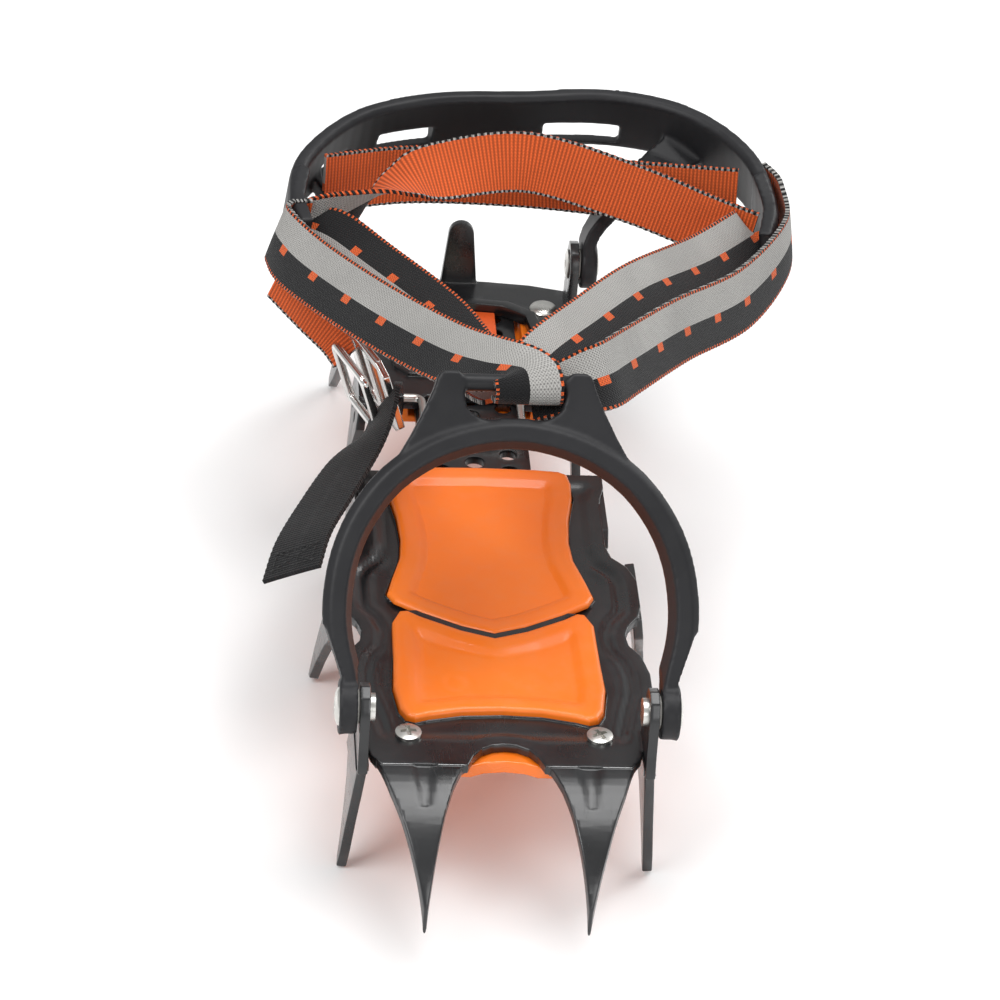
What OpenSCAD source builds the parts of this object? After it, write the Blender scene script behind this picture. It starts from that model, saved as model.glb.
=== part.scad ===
/* [Steel] */
// Thickness of the pressed steel plates
steel_t = 3; // [2.6:0.1:3.4]
// Half width of the front plate at its widest
plate_half = 46.5; // [45:0.5:48]
// Depth of the side points below the boot seat
point_depth = 45; // [40:1:50]
// Outward lean of the side points
splay = 5; // [3:1:7]
// Forward reach of the front claws
claw_reach = 38; // [32:1:42]
/* [Length adjustment] */
// Distance from the boot seat to the heel plate's front edge
heel_y = 131; // [129:1:140]
// Half width of the adjusting bar
bar_half = 19.5; // [18:0.5:20]
// Diameter of the holes along the bar
bar_hole_d = 5.5; // [4:0.5:6]
/* [Harness] */
// Radius of the toe rivet's shank
rivet_r = 2.5; // [2:0.1:2.8]
// Height of the toe rivets over the boot seat
toe_rivet_z = 14.5; // [13:0.5:17]
// Backward lean of the toe harness
toe_lean = 38; // [34:1:42]
// Half width of the toe harness along its middle line
ring_half = 51; // [50:0.5:53]
// Height of the heel rivets over the boot seat
heel_rivet_z = 19; // [18:0.5:21]
/* [Webbing] */
// Width of the strap
strap_w = 20; // [18:1:21]
// Thickness of the strap
strap_t = 1.6; // [1.2:0.1:1.8]

/* [Hidden] */

$fn = 48;
black_steel = [0.13, 0.14, 0.15];
orange = [1.0, 0.48, 0.12];
black_plastic = [0.22, 0.22, 0.23];
bright = [0.85, 0.84, 0.8];
webbing = [0.8, 0.8, 0.77];
webbing_orange = [0.95, 0.42, 0.22];

seat_z = 1.2;                 // height of the pads and beads that the sole rests on
gap = 0.2;                    // clear space between flat faces that slide or rest
running = 0.08;               // radial clearance of a rivet in a harness eye
toe_rivet_y = -52;
heel_rivet_y = heel_y + 57;
screw = [28.5, -46];
claw_root = -58;
bar_top = -steel_t - gap;
bar_t = 3;
bar_bottom = bar_top - bar_t;
bar_front = 58;
bar_rear = 194;
flange_y = 91;                // rear face of the front plate's cross flange
toe_bracket_x = 41;
post_x = 35;
eye_gap = 0.8;                // room for the washer between a bracket and an eye
eye_t = 4.6;

// ---- helpers -------------------------------------------------------------
function unit(v) = v / norm(v);
function both(half) =
    concat(half, [for (i = [len(half) - 1:-1:0]) if (half[i][0] > 0.01) [-half[i][0], half[i][1]]]);
function arc(c, r, a0, a1, n) =
    [for (k = [0:n]) c + r * [cos(a0 + (a1 - a0) * k / n), sin(a0 + (a1 - a0) * k / n)]];
function curve(a, b, c, d, t) =
    0.5 * (2 * b + (c - a) * t + (2 * a - 5 * b + 4 * c - d) * t * t
        + (3 * b - a - 3 * c + d) * t * t * t);
function smooth(p, n) = concat(
    [for (i = [0:len(p) - 2]) for (k = [0:n - 1])
        curve(p[max(i - 1, 0)], p[i], p[i + 1], p[min(i + 2, len(p) - 1)], k / n)],
    [p[len(p) - 1]]);
function place(row) = [row[0], row[1], row[2]];
function face(row) = [row[3], row[4], row[5]];

// A section (across, out of the face) swept along rows of [x, y, z, face normal].
module sweep(rows, section) {
    n = len(rows);
    m = len(section);
    along = [for (i = [0:n - 1])
        unit(place(rows[min(i + 1, n - 1)]) - place(rows[max(i - 1, 0)]))];
    out = [for (i = [0:n - 1]) unit(face(rows[i]) - (face(rows[i]) * along[i]) * along[i])];
    pts = [for (i = [0:n - 1]) for (s = section)
        place(rows[i]) + s[0] * cross(along[i], out[i]) + s[1] * out[i]];
    sides = [for (i = [0:n - 2]) for (j = [0:m - 1]) for (h = [0, 1])
        let (a = i * m + j, b = i * m + (j + 1) % m, c = a + m, d = b + m)
        h == 0 ? [a, b, c] : [b, d, c]];
    caps = concat([for (j = [1:m - 2]) [0, j + 1, j]],
        [for (j = [1:m - 2]) [(n - 1) * m, (n - 1) * m + j, (n - 1) * m + j + 1]]);
    polyhedron(pts, concat(sides, caps));
}

function ribbon(w, t) = [[-w / 2, -t / 2], [w / 2, -t / 2], [w / 2, t / 2], [-w / 2, t / 2]];
module strap(rows) { sweep(smooth(rows, 6), ribbon(strap_w, strap_t)); }

// Mirrors a right-hand piece to both sides.
module pair() {
    children();
    mirror([1, 0, 0]) children();
}
// A round bar along X, from x0 to x1.
module x_rod(r, x0, x1, y, z) {
    translate([x0, y, z]) rotate([0, 90, 0]) cylinder(r = r, h = x1 - x0);
}
// A flat outline in Y and Z, cut from sheet whose inner face is at x.
module side_sheet(x, t, outline) {
    translate([x, 0, 0]) rotate([90, 0, 90]) linear_extrude(t) polygon(outline);
}

// ---- front section -------------------------------------------------------
toe_window = both([[0, -35.5], [12, -36.2], [22, -38.5], [26, -40], [29, -39], [31, -35], [32.5, -24],
    [31.5, -10], [30.5, 8], [28, 11], [24, 9.5], [10, 1], [0, -2.5]]);
ball_window = both([[0, 6.5], [10, 10], [24, 18], [31, 21.5], [32.5, 24], [30.5, 31], [27.5, 42], [26.8, 52],
    [27.6, 64], [30, 78], [29.5, 83], [25, 85.5], [10, 87.5], [0, 88]]);
plate_outline = both([[0, -50], [3.5, -50.5], [7, -52.4], [9.6, -55.8], [11.5, -60.5], [37, -60.5], [40, -56], [41.5, -50],
    [42, -44], [44, -34], [plate_half, -24], [plate_half, -14], [44.5, -5], [41.2, 0], [40.5, 5],
    [42, 10], [45.5, 15], [plate_half, 20], [plate_half, 34], [44, 41], [39.5, 46], [38, 52],
    [38, 76], [40, 84], [40, flange_y], [0, flange_y]]);

// V-shaped stiffening bead pressed up between the two windows; the sole rests on it and the pads.
bridge_bead = both([[0, -1], [10, 2.6], [22, 9.8], [26, 14.2], [23, 14.6], [10, 8.2], [0, 4.6]]);

// Pulls an outline in around its middle, for pads that sit in a window.
function shrink(p, middle, k) = [for (q = p) middle + k * (q - middle)];

module claw() {
    r = claw_reach / sin(66);
    intersection() {
        translate([0, claw_root, -steel_t / 2 - r]) rotate([90, 0, 90]) difference() {
            cylinder(r = r + steel_t / 2, h = 40, $fn = 96);
            translate([0, 0, -1]) cylinder(r = r - steel_t / 2, h = 42, $fn = 96);
        }
        translate([0, 0, -40]) linear_extrude(50) polygon([
            [11.5, claw_root], [13.5, -62], [16, -68], [18.5, -76], [21, -86], [23.6, -97],
            [24.6, -97], [28, -88], [31.5, -78], [34.5, -70], [37, -62], [38.5, claw_root]]);
    }
}

module first_point() {
    side_sheet(0, steel_t, [[-60, 0], [-24, 0], [-25, -9], [-29, -12], [-28, -17], [-34, -16],
        [-40, -20], [-45, -28], [-48.5, -37], [-49.5, -point_depth + 2], [-52.5, -point_depth],
        [-54.5, -38], [-56, -25], [-58.5, -12]]);
}
module second_point() {
    side_sheet(0, steel_t, [[14, 0], [44, 0], [44, -8], [42.5, -16], [43, -28], [43.2, -36],
        [41.5, -point_depth], [38.5, -point_depth + 1], [34, -34], [27, -22], [20, -14], [15, -8]]);
}
module third_point() {
    side_sheet(0, steel_t, [[62, 0], [flange_y, 0], [flange_y, -12], [91.5, -22], [94, -33],
        [98.5, -point_depth + 2], [95.5, -point_depth], [86, -34], [77, -23], [69, -14], [63, -8]]);
}

module toe_bracket() {
    difference() {
        side_sheet(toe_bracket_x, steel_t, [[-62, -steel_t], [-42, -steel_t], [-43, 4], [-45.5, 17],
            [-48, 20.5], [-52, 22], [-56, 20.5], [-58.5, 16], [-60, 4]]);
        x_rod(rivet_r + 0.05, toe_bracket_x - 1, toe_bracket_x + steel_t + 1, toe_rivet_y, toe_rivet_z);
    }
}

module front_plate() {
    color(black_steel) {
        difference() {
            translate([0, 0, -steel_t]) linear_extrude(steel_t) polygon(plate_outline);
            translate([0, 0, -10]) linear_extrude(20) polygon(toe_window);
            translate([0, 0, -10]) linear_extrude(20) polygon(ball_window);
            pair() translate([screw[0], screw[1], -10]) cylinder(r = 2.3, h = 20);
        }
        translate([0, 0, -1]) linear_extrude(1 + seat_z) polygon(bridge_bead);
        pair() {
            claw();
            toe_bracket();
            translate([toe_bracket_x, 0, -1]) rotate([0, -splay, 0])
                translate([-0.2, 0, 0]) first_point();
            translate([plate_half - steel_t, 0, -1]) rotate([0, -splay - 4, 0]) second_point();
            translate([40 - steel_t, 0, -1]) rotate([0, -splay, 0]) third_point();
        }
        difference() {
            translate([-40, flange_y - steel_t, -15]) cube([80, steel_t, 14]);
            translate([-bar_half - 2.5, flange_y - 8, -10.4]) cube([2 * bar_half + 5, 16, 10.4 - steel_t]);
        }
    }
}

antiball_outline = both([[0, -54.3], [6, -55], [10, -56.8], [32, -56.8], [36, -52], [37.4, -40],
    [40.5, -24], [40.5, -12], [39, -5], [36.5, 2], [38, 10], [40, 16], [40, 33], [36, 42],
    [33.5, 48], [33.5, 80], [bar_half + 2.5, 80], [bar_half + 2.5, 53], [0, 53]]);

module front_antiball_plate() {
    top = -steel_t - 0.3;
    color(orange) difference() {
        union() {
            translate([0, 0, top - 4.2]) linear_extrude(4.2) polygon(antiball_outline);
            translate([0, 0, top - 6]) linear_extrude(3) polygon(shrink(antiball_outline, [0, -4], 0.84));
            pair() translate([screw[0] - 3, screw[1] + 2, top - 9]) cylinder(r1 = 4.5, r2 = 9, h = 5.5);
        }
        // pocket that the bar's hooks lie under, and the two long channels
        translate([-bar_half - 2, 43, -20]) cube([2 * bar_half + 4, 30, 14]);
        translate([-40, 61.6, -20]) cube([80, 30, 12.5]);
        pair() translate([12, -30, top - 8]) cube([14, 56, 3.2]);
        pair() translate([screw[0], screw[1], -30]) cylinder(r = 2.9, h = 40);
    }
}

module window_pad(outline, middle, k_in, low) {
    difference() {
        translate([0, 0, low]) linear_extrude(seat_z - low) polygon(shrink(outline, middle, 0.985));
        translate([0, 0, seat_z - 0.9]) linear_extrude(2) polygon(shrink(outline, middle, k_in));
    }
}
module toe_pad() { color(orange) window_pad(toe_window, [0, -16], 0.78, -steel_t - 0.3); }
module ball_pad() {
    color(orange) {
        window_pad(ball_window, [0, 52], 0.76, bar_top + 0.1);
        // lip that lies over the bend of the cross flange
        translate([0, 0, 0.1]) linear_extrude(1.1) polygon(both([[0, 85], [27, 81], [29.5, 84],
            [29, flange_y - 1], [20, flange_y + 0.6], [0, flange_y + 1]]));
    }
}

module bar_cover() {
    w = bar_half + 7;
    inner = bar_half + 2.5;
    color(orange) difference() {
        union() {
            translate([-w, 62, -12.2]) cube([2 * w, 25, 4.7]);
            translate([-w + 6, 65, -13.4]) cube([2 * w - 12, 19, 2]);
        }
        translate([-inner, 50, -9.8]) cube([2 * inner, 40, 6]);
    }
}

module front_screws() {
    color(bright) pair() translate([screw[0], screw[1], 0]) difference() {
        union() {
            translate([0, 0, 0.05]) cylinder(r1 = 4.4, r2 = 3.6, h = 1.5);
            translate([0, 0, -12]) cylinder(r = 2, h = 12.1);
        }
        for (a = [45, 135]) rotate(a) translate([-2.4, -0.45, 0.7]) cube([4.8, 0.9, 2]);
    }
}
module screw_inserts() {
    color("goldenrod") pair() translate([screw[0], screw[1], -12]) difference() {
        cylinder(r = 2.85, h = 6.5);
        translate([0, 0, -1]) cylinder(r = 2.02, h = 9);
    }
}

eye_in = toe_bracket_x + steel_t + eye_gap;
module toe_rivets() {
    color(bright) pair() {
        x_rod(rivet_r, toe_bracket_x - 1.4, eye_in + eye_t + 0.3, toe_rivet_y, toe_rivet_z);
        x_rod(4.2, toe_bracket_x - 2, toe_bracket_x - 0.05, toe_rivet_y, toe_rivet_z);
        translate([eye_in + eye_t + 0.2, toe_rivet_y, toe_rivet_z]) rotate([0, 90, 0])
            cylinder(r1 = 5.6, r2 = 4, h = 1.8);
    }
}
module toe_washers() {
    color("whitesmoke") pair() difference() {
        x_rod(5, toe_bracket_x + steel_t + 0.1, eye_in - 0.1, toe_rivet_y, toe_rivet_z);
        x_rod(rivet_r + 0.1, toe_bracket_x, eye_in + 1, toe_rivet_y, toe_rivet_z);
    }
}

// Ring of the toe harness, drawn upright (x, height) and then leaned back.
ring_mid = eye_in + eye_t / 2;
ring_side = [[ring_mid, 0], [ring_mid + 0.8, 9], [ring_half - 0.6, 20], [ring_half, 31], [ring_half - 2, 44],
    [ring_half - 7, 56], [ring_half - 15.5, 67], [ring_half - 27, 75], [ring_half - 39, 79.4], [0, 81]];
ring_path = concat(ring_side, [for (i = [len(ring_side) - 2:-1:0]) [-ring_side[i][0], ring_side[i][1]]]);
function outward(p, i) = let (a = p[max(i - 1, 0)], b = p[min(i + 1, len(p) - 1)], d = unit(b - a))
    [d[1], 0, -d[0]];
ring_rows = [for (i = [0:len(ring_path) - 1])
    concat([ring_path[i][0], 0, ring_path[i][1]], outward(ring_path, i))];
ring_section = [[-4.6, -2.1], [1.5, -4.4], [4.6, -3.7], [4.2, 3.9], [-2.6, 4.6], [-4.6, 2.2]];

module yoke_horn() {
    linear_extrude(6) polygon([[8, 79.5], [24, 73], [39, 64], [34.5, 73], [30.5, 80], [26.5, 88], [24, 94],
        [22.8, 98], [21, 99.2], [17, 99.2], [15.3, 97.5], [14.8, 91], [14, 88], [11, 85.6], [8, 85]]);
}

module toe_harness() {
    color(black_plastic) translate([0, toe_rivet_y, toe_rivet_z]) rotate([-toe_lean, 0, 0]) difference() {
        union() {
            sweep(smooth(ring_rows, 3), ring_section);
            pair() x_rod(8, eye_in, eye_in + eye_t, 0, 0);
            rotate([90, 0, 0]) translate([0, 0, -3]) pair() yoke_horn();
            x_rod(2.6, -18, 18, 0, 96);
        }
        pair() x_rod(rivet_r + running, eye_in - 6, eye_in + eye_t + 6, 0, 0);
        pair() translate([eye_in + eye_t, 0, 0]) rotate([0, 90, 0]) cylinder(r1 = 9, r2 = 26, h = 6);
        pair() translate([eye_in, 0, 0]) rotate([0, -90, 0]) cylinder(r1 = 12, r2 = 20, h = 8);
    }
}

// ---- adjusting bar -------------------------------------------------------
module adjust_bar() {
    color(black_steel) {
        difference() {
            translate([-bar_half, bar_front, bar_bottom]) linear_extrude(bar_t) polygon([[0, 0],
                [2 * bar_half, 0], [2 * bar_half, 22], [2 * bar_half - 1.5, 26],
                [2 * bar_half - 1.5, bar_rear - bar_front - 4], [2 * bar_half - 6, bar_rear - bar_front],
                [6, bar_rear - bar_front], [1.5, bar_rear - bar_front - 4], [1.5, 26], [0, 22]]);
            for (k = [0:10]) translate([0, 97 + 9 * k, -20]) {
                translate([-11, 0, 0]) cylinder(r = bar_hole_d / 2, h = 40);
                translate([11, 0, 0]) cylinder(r = bar_hole_d / 2, h = 40);
                if (k < 10) translate([0, 4.5, 0]) cylinder(r = bar_hole_d / 2 + 0.4, h = 40);
            }
        }
        for (x = [-11, 11]) {
            translate([x - 2.5, bar_front - 3, -10.8]) cube([5, 6, 10.4 + bar_top]);
            translate([x - 2.5, 49, -10.8]) cube([5, 8, 2.6]);
            translate([x - 5.5, 46.5, -10.8]) cube([11, 4, 2.6]);
        }
    }
}

// ---- heel section --------------------------------------------------------
heel_outline = both([[0, heel_y + 4], [14, heel_y + 4], [17, heel_y], [33, heel_y - 1], [36.5, heel_y + 3],
    [36.5, heel_y + 22], [33, heel_y + 28], [32.5, heel_y + 40], [34, heel_y + 45], [38, heel_y + 47],
    [38, heel_y + 67], [36, heel_y + 70], [24, heel_y + 73], [10, heel_y + 74.5], [0, heel_y + 75]]);
heel_window = both([[0, heel_y + 18], [17, heel_y + 18], [21, heel_y + 22], [23.5, heel_y + 40],
    [21.5, heel_y + 52], [14, heel_y + 57.5], [0, heel_y + 59]]);

module heel_front_point() {
    difference() {
        side_sheet(0, steel_t, [[heel_y - 1, 0], [heel_y + 23, 0], [heel_y + 24, -9], [heel_y + 20, -14],
            [heel_y + 16, -17], [heel_y + 12, -30], [heel_y + 10, -point_depth + 1],
            [heel_y + 7, -point_depth], [heel_y + 5, -36], [heel_y + 4, -22], [heel_y, -15],
            [heel_y - 3, -9]]);
        for (k = [0, 1]) x_rod(1.9, -1, steel_t + 1, heel_y + 6 + 9 * k, -10);
    }
}
module heel_rear_point() {
    side_sheet(0, steel_t, [[heel_y + 47, 0], [heel_y + 67, 0], [heel_y + 69, -12], [heel_y + 73, -26],
        [heel_y + 79, -point_depth + 2], [heel_y + 76, -point_depth], [heel_y + 66, -34],
        [heel_y + 57, -22], [heel_y + 49, -12]]);
}
module heel_post() {
    y = heel_rivet_y;
    difference() {
        side_sheet(post_x, steel_t, [[y - 10, -steel_t], [y + 9, -steel_t], [y + 7.5, 8], [y + 6.8, 21],
            [y + 4.5, 25.5], [y, 27], [y - 4.5, 25.5], [y - 6.8, 21], [y - 8, 8]]);
        x_rod(rivet_r + 0.05, post_x - 1, post_x + steel_t + 1, y, heel_rivet_z);
    }
}
module heel_tab() {
    translate([0, heel_y + 75.6, -steel_t]) rotate([-7, 0, 0]) translate([0, -steel_t, 0])
        rotate([90, 0, 0]) mirror([0, 0, 1]) linear_extrude(steel_t)
            polygon(both(concat([[6.8, 0.2], [6, 4]], arc([0, 20.8], 4.3, 8, 90, 6))));
}

module heel_plate() {
    color(black_steel) {
        difference() {
            translate([0, 0, -steel_t]) linear_extrude(steel_t) polygon(heel_outline);
            translate([0, 0, -10]) linear_extrude(20) polygon(heel_window);
            pair() translate([28, heel_rivet_y + 1, -10]) cylinder(r = 2.3, h = 20);
        }
        // rim pressed up around the window, which the heel rests on
        translate([0, 0, -1]) linear_extrude(1 + seat_z) difference() {
            polygon(shrink(heel_window, [0, heel_y + 38], 1.16));
            polygon(heel_window);
        }
        heel_tab();
        pair() {
            heel_post();
            translate([36.5 - steel_t, 0, -1]) rotate([0, -splay, 0]) heel_front_point();
            translate([38 - steel_t, 0, -1]) rotate([0, -splay, 0]) heel_rear_point();
            // lug that holds the lock wire's end
            difference() {
                translate([22.2, heel_y - 4, -steel_t]) cube([3, 9, 7.5]);
                x_rod(wire_r + running, 20, 27, heel_y, 1.4);
            }
        }
    }
}

module heel_antiball_plate() {
    outline = both([[0, heel_y + 1], [30, heel_y + 1], [33, heel_y + 4], [33, heel_y + 22],
        [30, heel_y + 29], [30, heel_y + 42], [33, heel_y + 48], [35, heel_y + 60], [33, heel_y + 68],
        [22, heel_y + 74], [0, heel_y + 76]]);
    color(orange) difference() {
        union() {
            translate([0, 0, -9]) linear_extrude(9 - steel_t - 0.3) polygon(outline);
            translate([0, 0, -11.5]) linear_extrude(3)
                polygon(shrink(outline, [0, heel_y + 40], 0.86));
            translate([0, 0, -13]) linear_extrude(3)
                polygon(shrink(outline, [0, heel_y + 42], 0.6));
        }
        translate([-bar_half - 0.6, heel_y - 5, bar_bottom - 0.3])
            cube([2 * bar_half + 1.2, 90, 10]);
        pair() translate([28, heel_rivet_y + 1, -20]) {
            cylinder(r = 2.3, h = 30);
            cylinder(r = 4.3, h = 11);
        }
    }
}
module lock_plate() {
    color("wheat") translate([0, 0, -steel_t + 0.1]) linear_extrude(1.2)
        polygon(concat([[11.5, heel_y + 18.4], [11.5, heel_y + 57.6]],
            [[0, heel_y + 58.5], [-14, heel_y + 57], [-21, heel_y + 51.6], [-23, heel_y + 40],
                [-20.6, heel_y + 22.2], [-16.8, heel_y + 18.4]]));
}
module heel_plate_rivets() {
    color(bright) pair() translate([28, heel_rivet_y + 1, 0]) {
        translate([0, 0, 0.05]) cylinder(r1 = 4.6, r2 = 3, h = 1.5);
        translate([0, 0, -10.4]) cylinder(r = 2.25, h = 11);
        translate([0, 0, -10.6]) cylinder(r = 4, h = 1.5);
    }
}
heel_eye_in = post_x + steel_t + eye_gap;
module heel_eyelets() {
    color(bright) pair() difference() {
        union() {
            x_rod(rivet_r, post_x - 1, heel_eye_in + eye_t + 0.6, heel_rivet_y, heel_rivet_z);
            x_rod(5, post_x - 1.2, post_x - 0.05, heel_rivet_y, heel_rivet_z);
            x_rod(5, heel_eye_in + eye_t + 0.2, heel_eye_in + eye_t + 1.4, heel_rivet_y, heel_rivet_z);
        }
        x_rod(1.5, post_x - 4, heel_eye_in + eye_t + 4, heel_rivet_y, heel_rivet_z);
    }
}
module heel_washers() {
    color("whitesmoke") pair() difference() {
        x_rod(5, post_x + steel_t + 0.1, heel_eye_in - 0.1, heel_rivet_y, heel_rivet_z);
        x_rod(rivet_r + 0.1, post_x, heel_eye_in + 1, heel_rivet_y, heel_rivet_z);
    }
}

// Spring wire that drops into the bar's holes, hinged in the heel plate's lugs.
wire_r = 1.3;
module lock_wire() {
    reach = 16;
    bend = 3;
    color(bright) translate([0, heel_y, 1.4]) {
        pair() {
            x_rod(wire_r, 19, 26.8, 0, 0);
            translate([19, -bend, 0]) rotate(90) rotate_extrude(angle = 90)
                translate([bend, 0]) circle(r = wire_r, $fn = 24);
            translate([19 - bend, -bend, 0]) rotate([90, 0, 0])
                cylinder(r = wire_r, h = reach - 2 * bend, $fn = 24);
            translate([19 - 2 * bend, bend - reach, 0]) rotate(-90) rotate_extrude(angle = 90)
                translate([bend, 0]) circle(r = wire_r, $fn = 24);
            x_rod(wire_r, 0, 19 - 2 * bend, -reach, 0);
            translate([11, -reach, -4.4]) cylinder(r = wire_r, h = 4.4, $fn = 24);
        }
    }
}

// ---- heel harness --------------------------------------------------------
band_rows = [
    [-57, 148, 48, -1, -0.2, 0.1], [-60, 162, 50, -1, 0, 0.15], [-56, 184, 53, -0.9, 0.4, 0.2],
    [-38, 206, 56, -0.5, 0.8, 0.25], [-12, 217, 57, -0.15, 1, 0.25], [18, 220, 57, 0, 1, 0.25],
    [48, 221, 58, 0.1, 1, 0.25], [74, 211, 58, 0.55, 0.8, 0.25], [92, 190, 55, 0.95, 0.35, 0.2],
    [98, 166, 49, 1, 0, 0.15], [95, 151, 46, 1, -0.25, 0.1]];
band_section = [[-13, -1.8], [-11.5, -2.3], [8.5, -2.3], [10, -0.6], [9.6, 2.4], [7.4, 2.9],
    [-12, 1.9], [-13, 1.2]];
ear_section = [[-13.2, -2], [13.2, -2], [13.2, 2], [-13.2, 2]];
left_ear = [[-57, 148, 45.5, -1, -0.2, 0.1], [-60, 162, 47, -1, 0, 0.15], [-57.5, 177, 49.2, -0.95, 0.2, 0.15]];
right_ear = [[94.8, 181, 50.5, 1, 0.2, 0.15], [98, 166, 46.5, 1, 0, 0.15], [95, 151, 43.8, 1, -0.25, 0.1]];
left_slot = [-59.5, 157, 47, -1, 0];
right_slot = [97.6, 160, 45.5, 1, 0];
leg_section = [[-7, -2.2], [7, -2.2], [7, 2.2], [-7, 2.2]];
heel_eye_mid = heel_eye_in + eye_t / 2;
slot_w = 4.4;                 // opening for the strap in each ear
slot_h = strap_w + 1;
right_leg = [[heel_eye_mid, heel_rivet_y, heel_rivet_z, 1, 0, 0],
    [heel_eye_mid + 1, heel_rivet_y + 4, heel_rivet_z + 10, 1, 0, -0.15],
    [heel_eye_mid + 13, heel_rivet_y + 12, heel_rivet_z + 22, 0.9, 0.2, -0.4],
    [heel_eye_mid + 33, heel_rivet_y + 23, heel_rivet_z + 33, 0.6, 0.75, -0.1]];
left_leg = [[-heel_eye_mid, heel_rivet_y, heel_rivet_z, -1, 0, 0],
    [-heel_eye_mid, heel_rivet_y + 4, heel_rivet_z + 12, -1, 0, 0],
    [-heel_eye_mid - 6, heel_rivet_y + 7, heel_rivet_z + 24, -0.95, 0.3, -0.1],
    [-heel_eye_mid - 10, heel_rivet_y + 6, heel_rivet_z + 34, -0.85, 0.5, 0]];

module slot_cut(row, w, h) {
    d = atan2(row[4], row[3]);
    translate(place(row)) rotate([0, 0, d]) cube([16, w, h], center = true);
}
module heel_harness() {
    color(black_plastic) difference() {
        union() {
            sweep(smooth(band_rows, 6), band_section);
            sweep(smooth(left_ear, 3), ear_section);
            sweep(smooth(right_ear, 3), ear_section);
            sweep(smooth(right_leg, 4), leg_section);
            sweep(smooth(left_leg, 4), leg_section);
            pair() x_rod(8, heel_eye_in, heel_eye_in + eye_t, heel_rivet_y, heel_rivet_z);
        }
        slot_cut(left_slot, slot_w, slot_h);
        slot_cut(right_slot, slot_w, slot_h);
        slot_cut([-46, 198, 49, -0.7, 0.72], 14, 7);
        slot_cut([-21, 214, 50.5, -0.35, 0.93], 20, 7);
        slot_cut([39, 221, 51, 0.05, 1], 26, 7.5);
        pair() x_rod(rivet_r + running, heel_eye_in - 8, heel_eye_in + eye_t + 8,
            heel_rivet_y, heel_rivet_z);
        pair() x_rod(9, heel_eye_in - 9, heel_eye_in, heel_rivet_y, heel_rivet_z);
        pair() x_rod(7, heel_eye_in + eye_t, heel_eye_in + eye_t + 9, heel_rivet_y, heel_rivet_z);
    }
}

// ---- straps --------------------------------------------------------------
module strap_left_outer() {
    color(webbing) strap([[-65, 147, 52, -0.8, -0.2, 0.5], [-57, 125, 55, -0.72, -0.2, 0.66],
        [-38, 82, 66, -0.7, -0.15, 0.68], [-19, 43, 78, -0.62, -0.2, 0.75],
        [-6, 18, 87, -0.5, -0.3, 0.85]]);
}
module strap_left_inner() {
    color(webbing_orange) strap([[-48, 150, 51, -0.7, 0.1, 0.6], [-37, 128, 54, -0.6, 0.1, 0.75],
        [-18, 88, 61, -0.5, 0, 0.85], [-9, 56, 67, -0.35, 0, 0.9], [-4, 32, 74, -0.3, 0.1, 1]]);
}
module strap_right_inner() {
    color(webbing) strap([[88, 158, 50, 0.6, -0.3, 0.6], [72, 130, 57, 0.55, -0.2, 0.7],
        [47, 88, 73, 0.5, -0.1, 0.75], [27, 52, 85, 0.4, -0.1, 0.85], [16, 32, 90, 0.3, -0.1, 0.95]]);
}
module strap_right_outer() {
    color(webbing) strap([[102.5, 176, 52, 0.97, 0, 0.15], [102, 155, 49, 0.95, -0.25, 0.15],
        [84, 118, 52, 0.8, -0.4, 0.3], [58, 76, 66, 0.75, -0.4, 0.4],
        [38, 38, 79, 0.75, -0.3, 0.45], [30, 19, 86, 0.8, -0.2, 0.5]]);
}
module strap_ankle_front() {
    color(webbing_orange) strap([[-53, 158, 49, 0.6, -0.7, 0.2], [-38, 166, 53, 0.45, -0.8, 0.35],
        [-12, 177, 60, 0.2, -0.85, 0.5], [18, 183, 61, 0, -0.9, 0.4],
        [52, 177, 54, -0.2, -0.9, 0.3], [88, 163, 46, -0.35, -0.9, 0.2]]);
}
module strap_ankle_rear() {
    color(webbing_orange) strap([[-49, 184, 50, 0.4, -0.9, 0.2], [-20, 198, 46, 0.2, -1, 0.2],
        [16, 201, 44, 0, -1, 0.2], [50, 188, 49, -0.15, -1, 0.2], [84, 181, 51, -0.4, -0.9, 0.2]]);
}
module strap_buckle_lead() {
    color(webbing_orange) strap([[-63, 144, 38, -0.8, -0.5, 0.3], [-53, 134, 34.5, -0.75, -0.55, 0.35],
        [-44, 126.5, 30, -0.7, -0.6, 0.4]]);
}
module strap_tail() {
    color(black_plastic) strap([[-32.3, 91, 16.2, -0.8, -0.2, 0.55], [-42, 74, 14.5, -0.62, -0.2, 0.75],
        [-51, 52, 14, -0.55, -0.2, 0.8], [-58, 33, 14, -0.55, -0.2, 0.8],
        [-62, 16, 12.5, -0.55, -0.25, 0.8]]);
}

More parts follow.
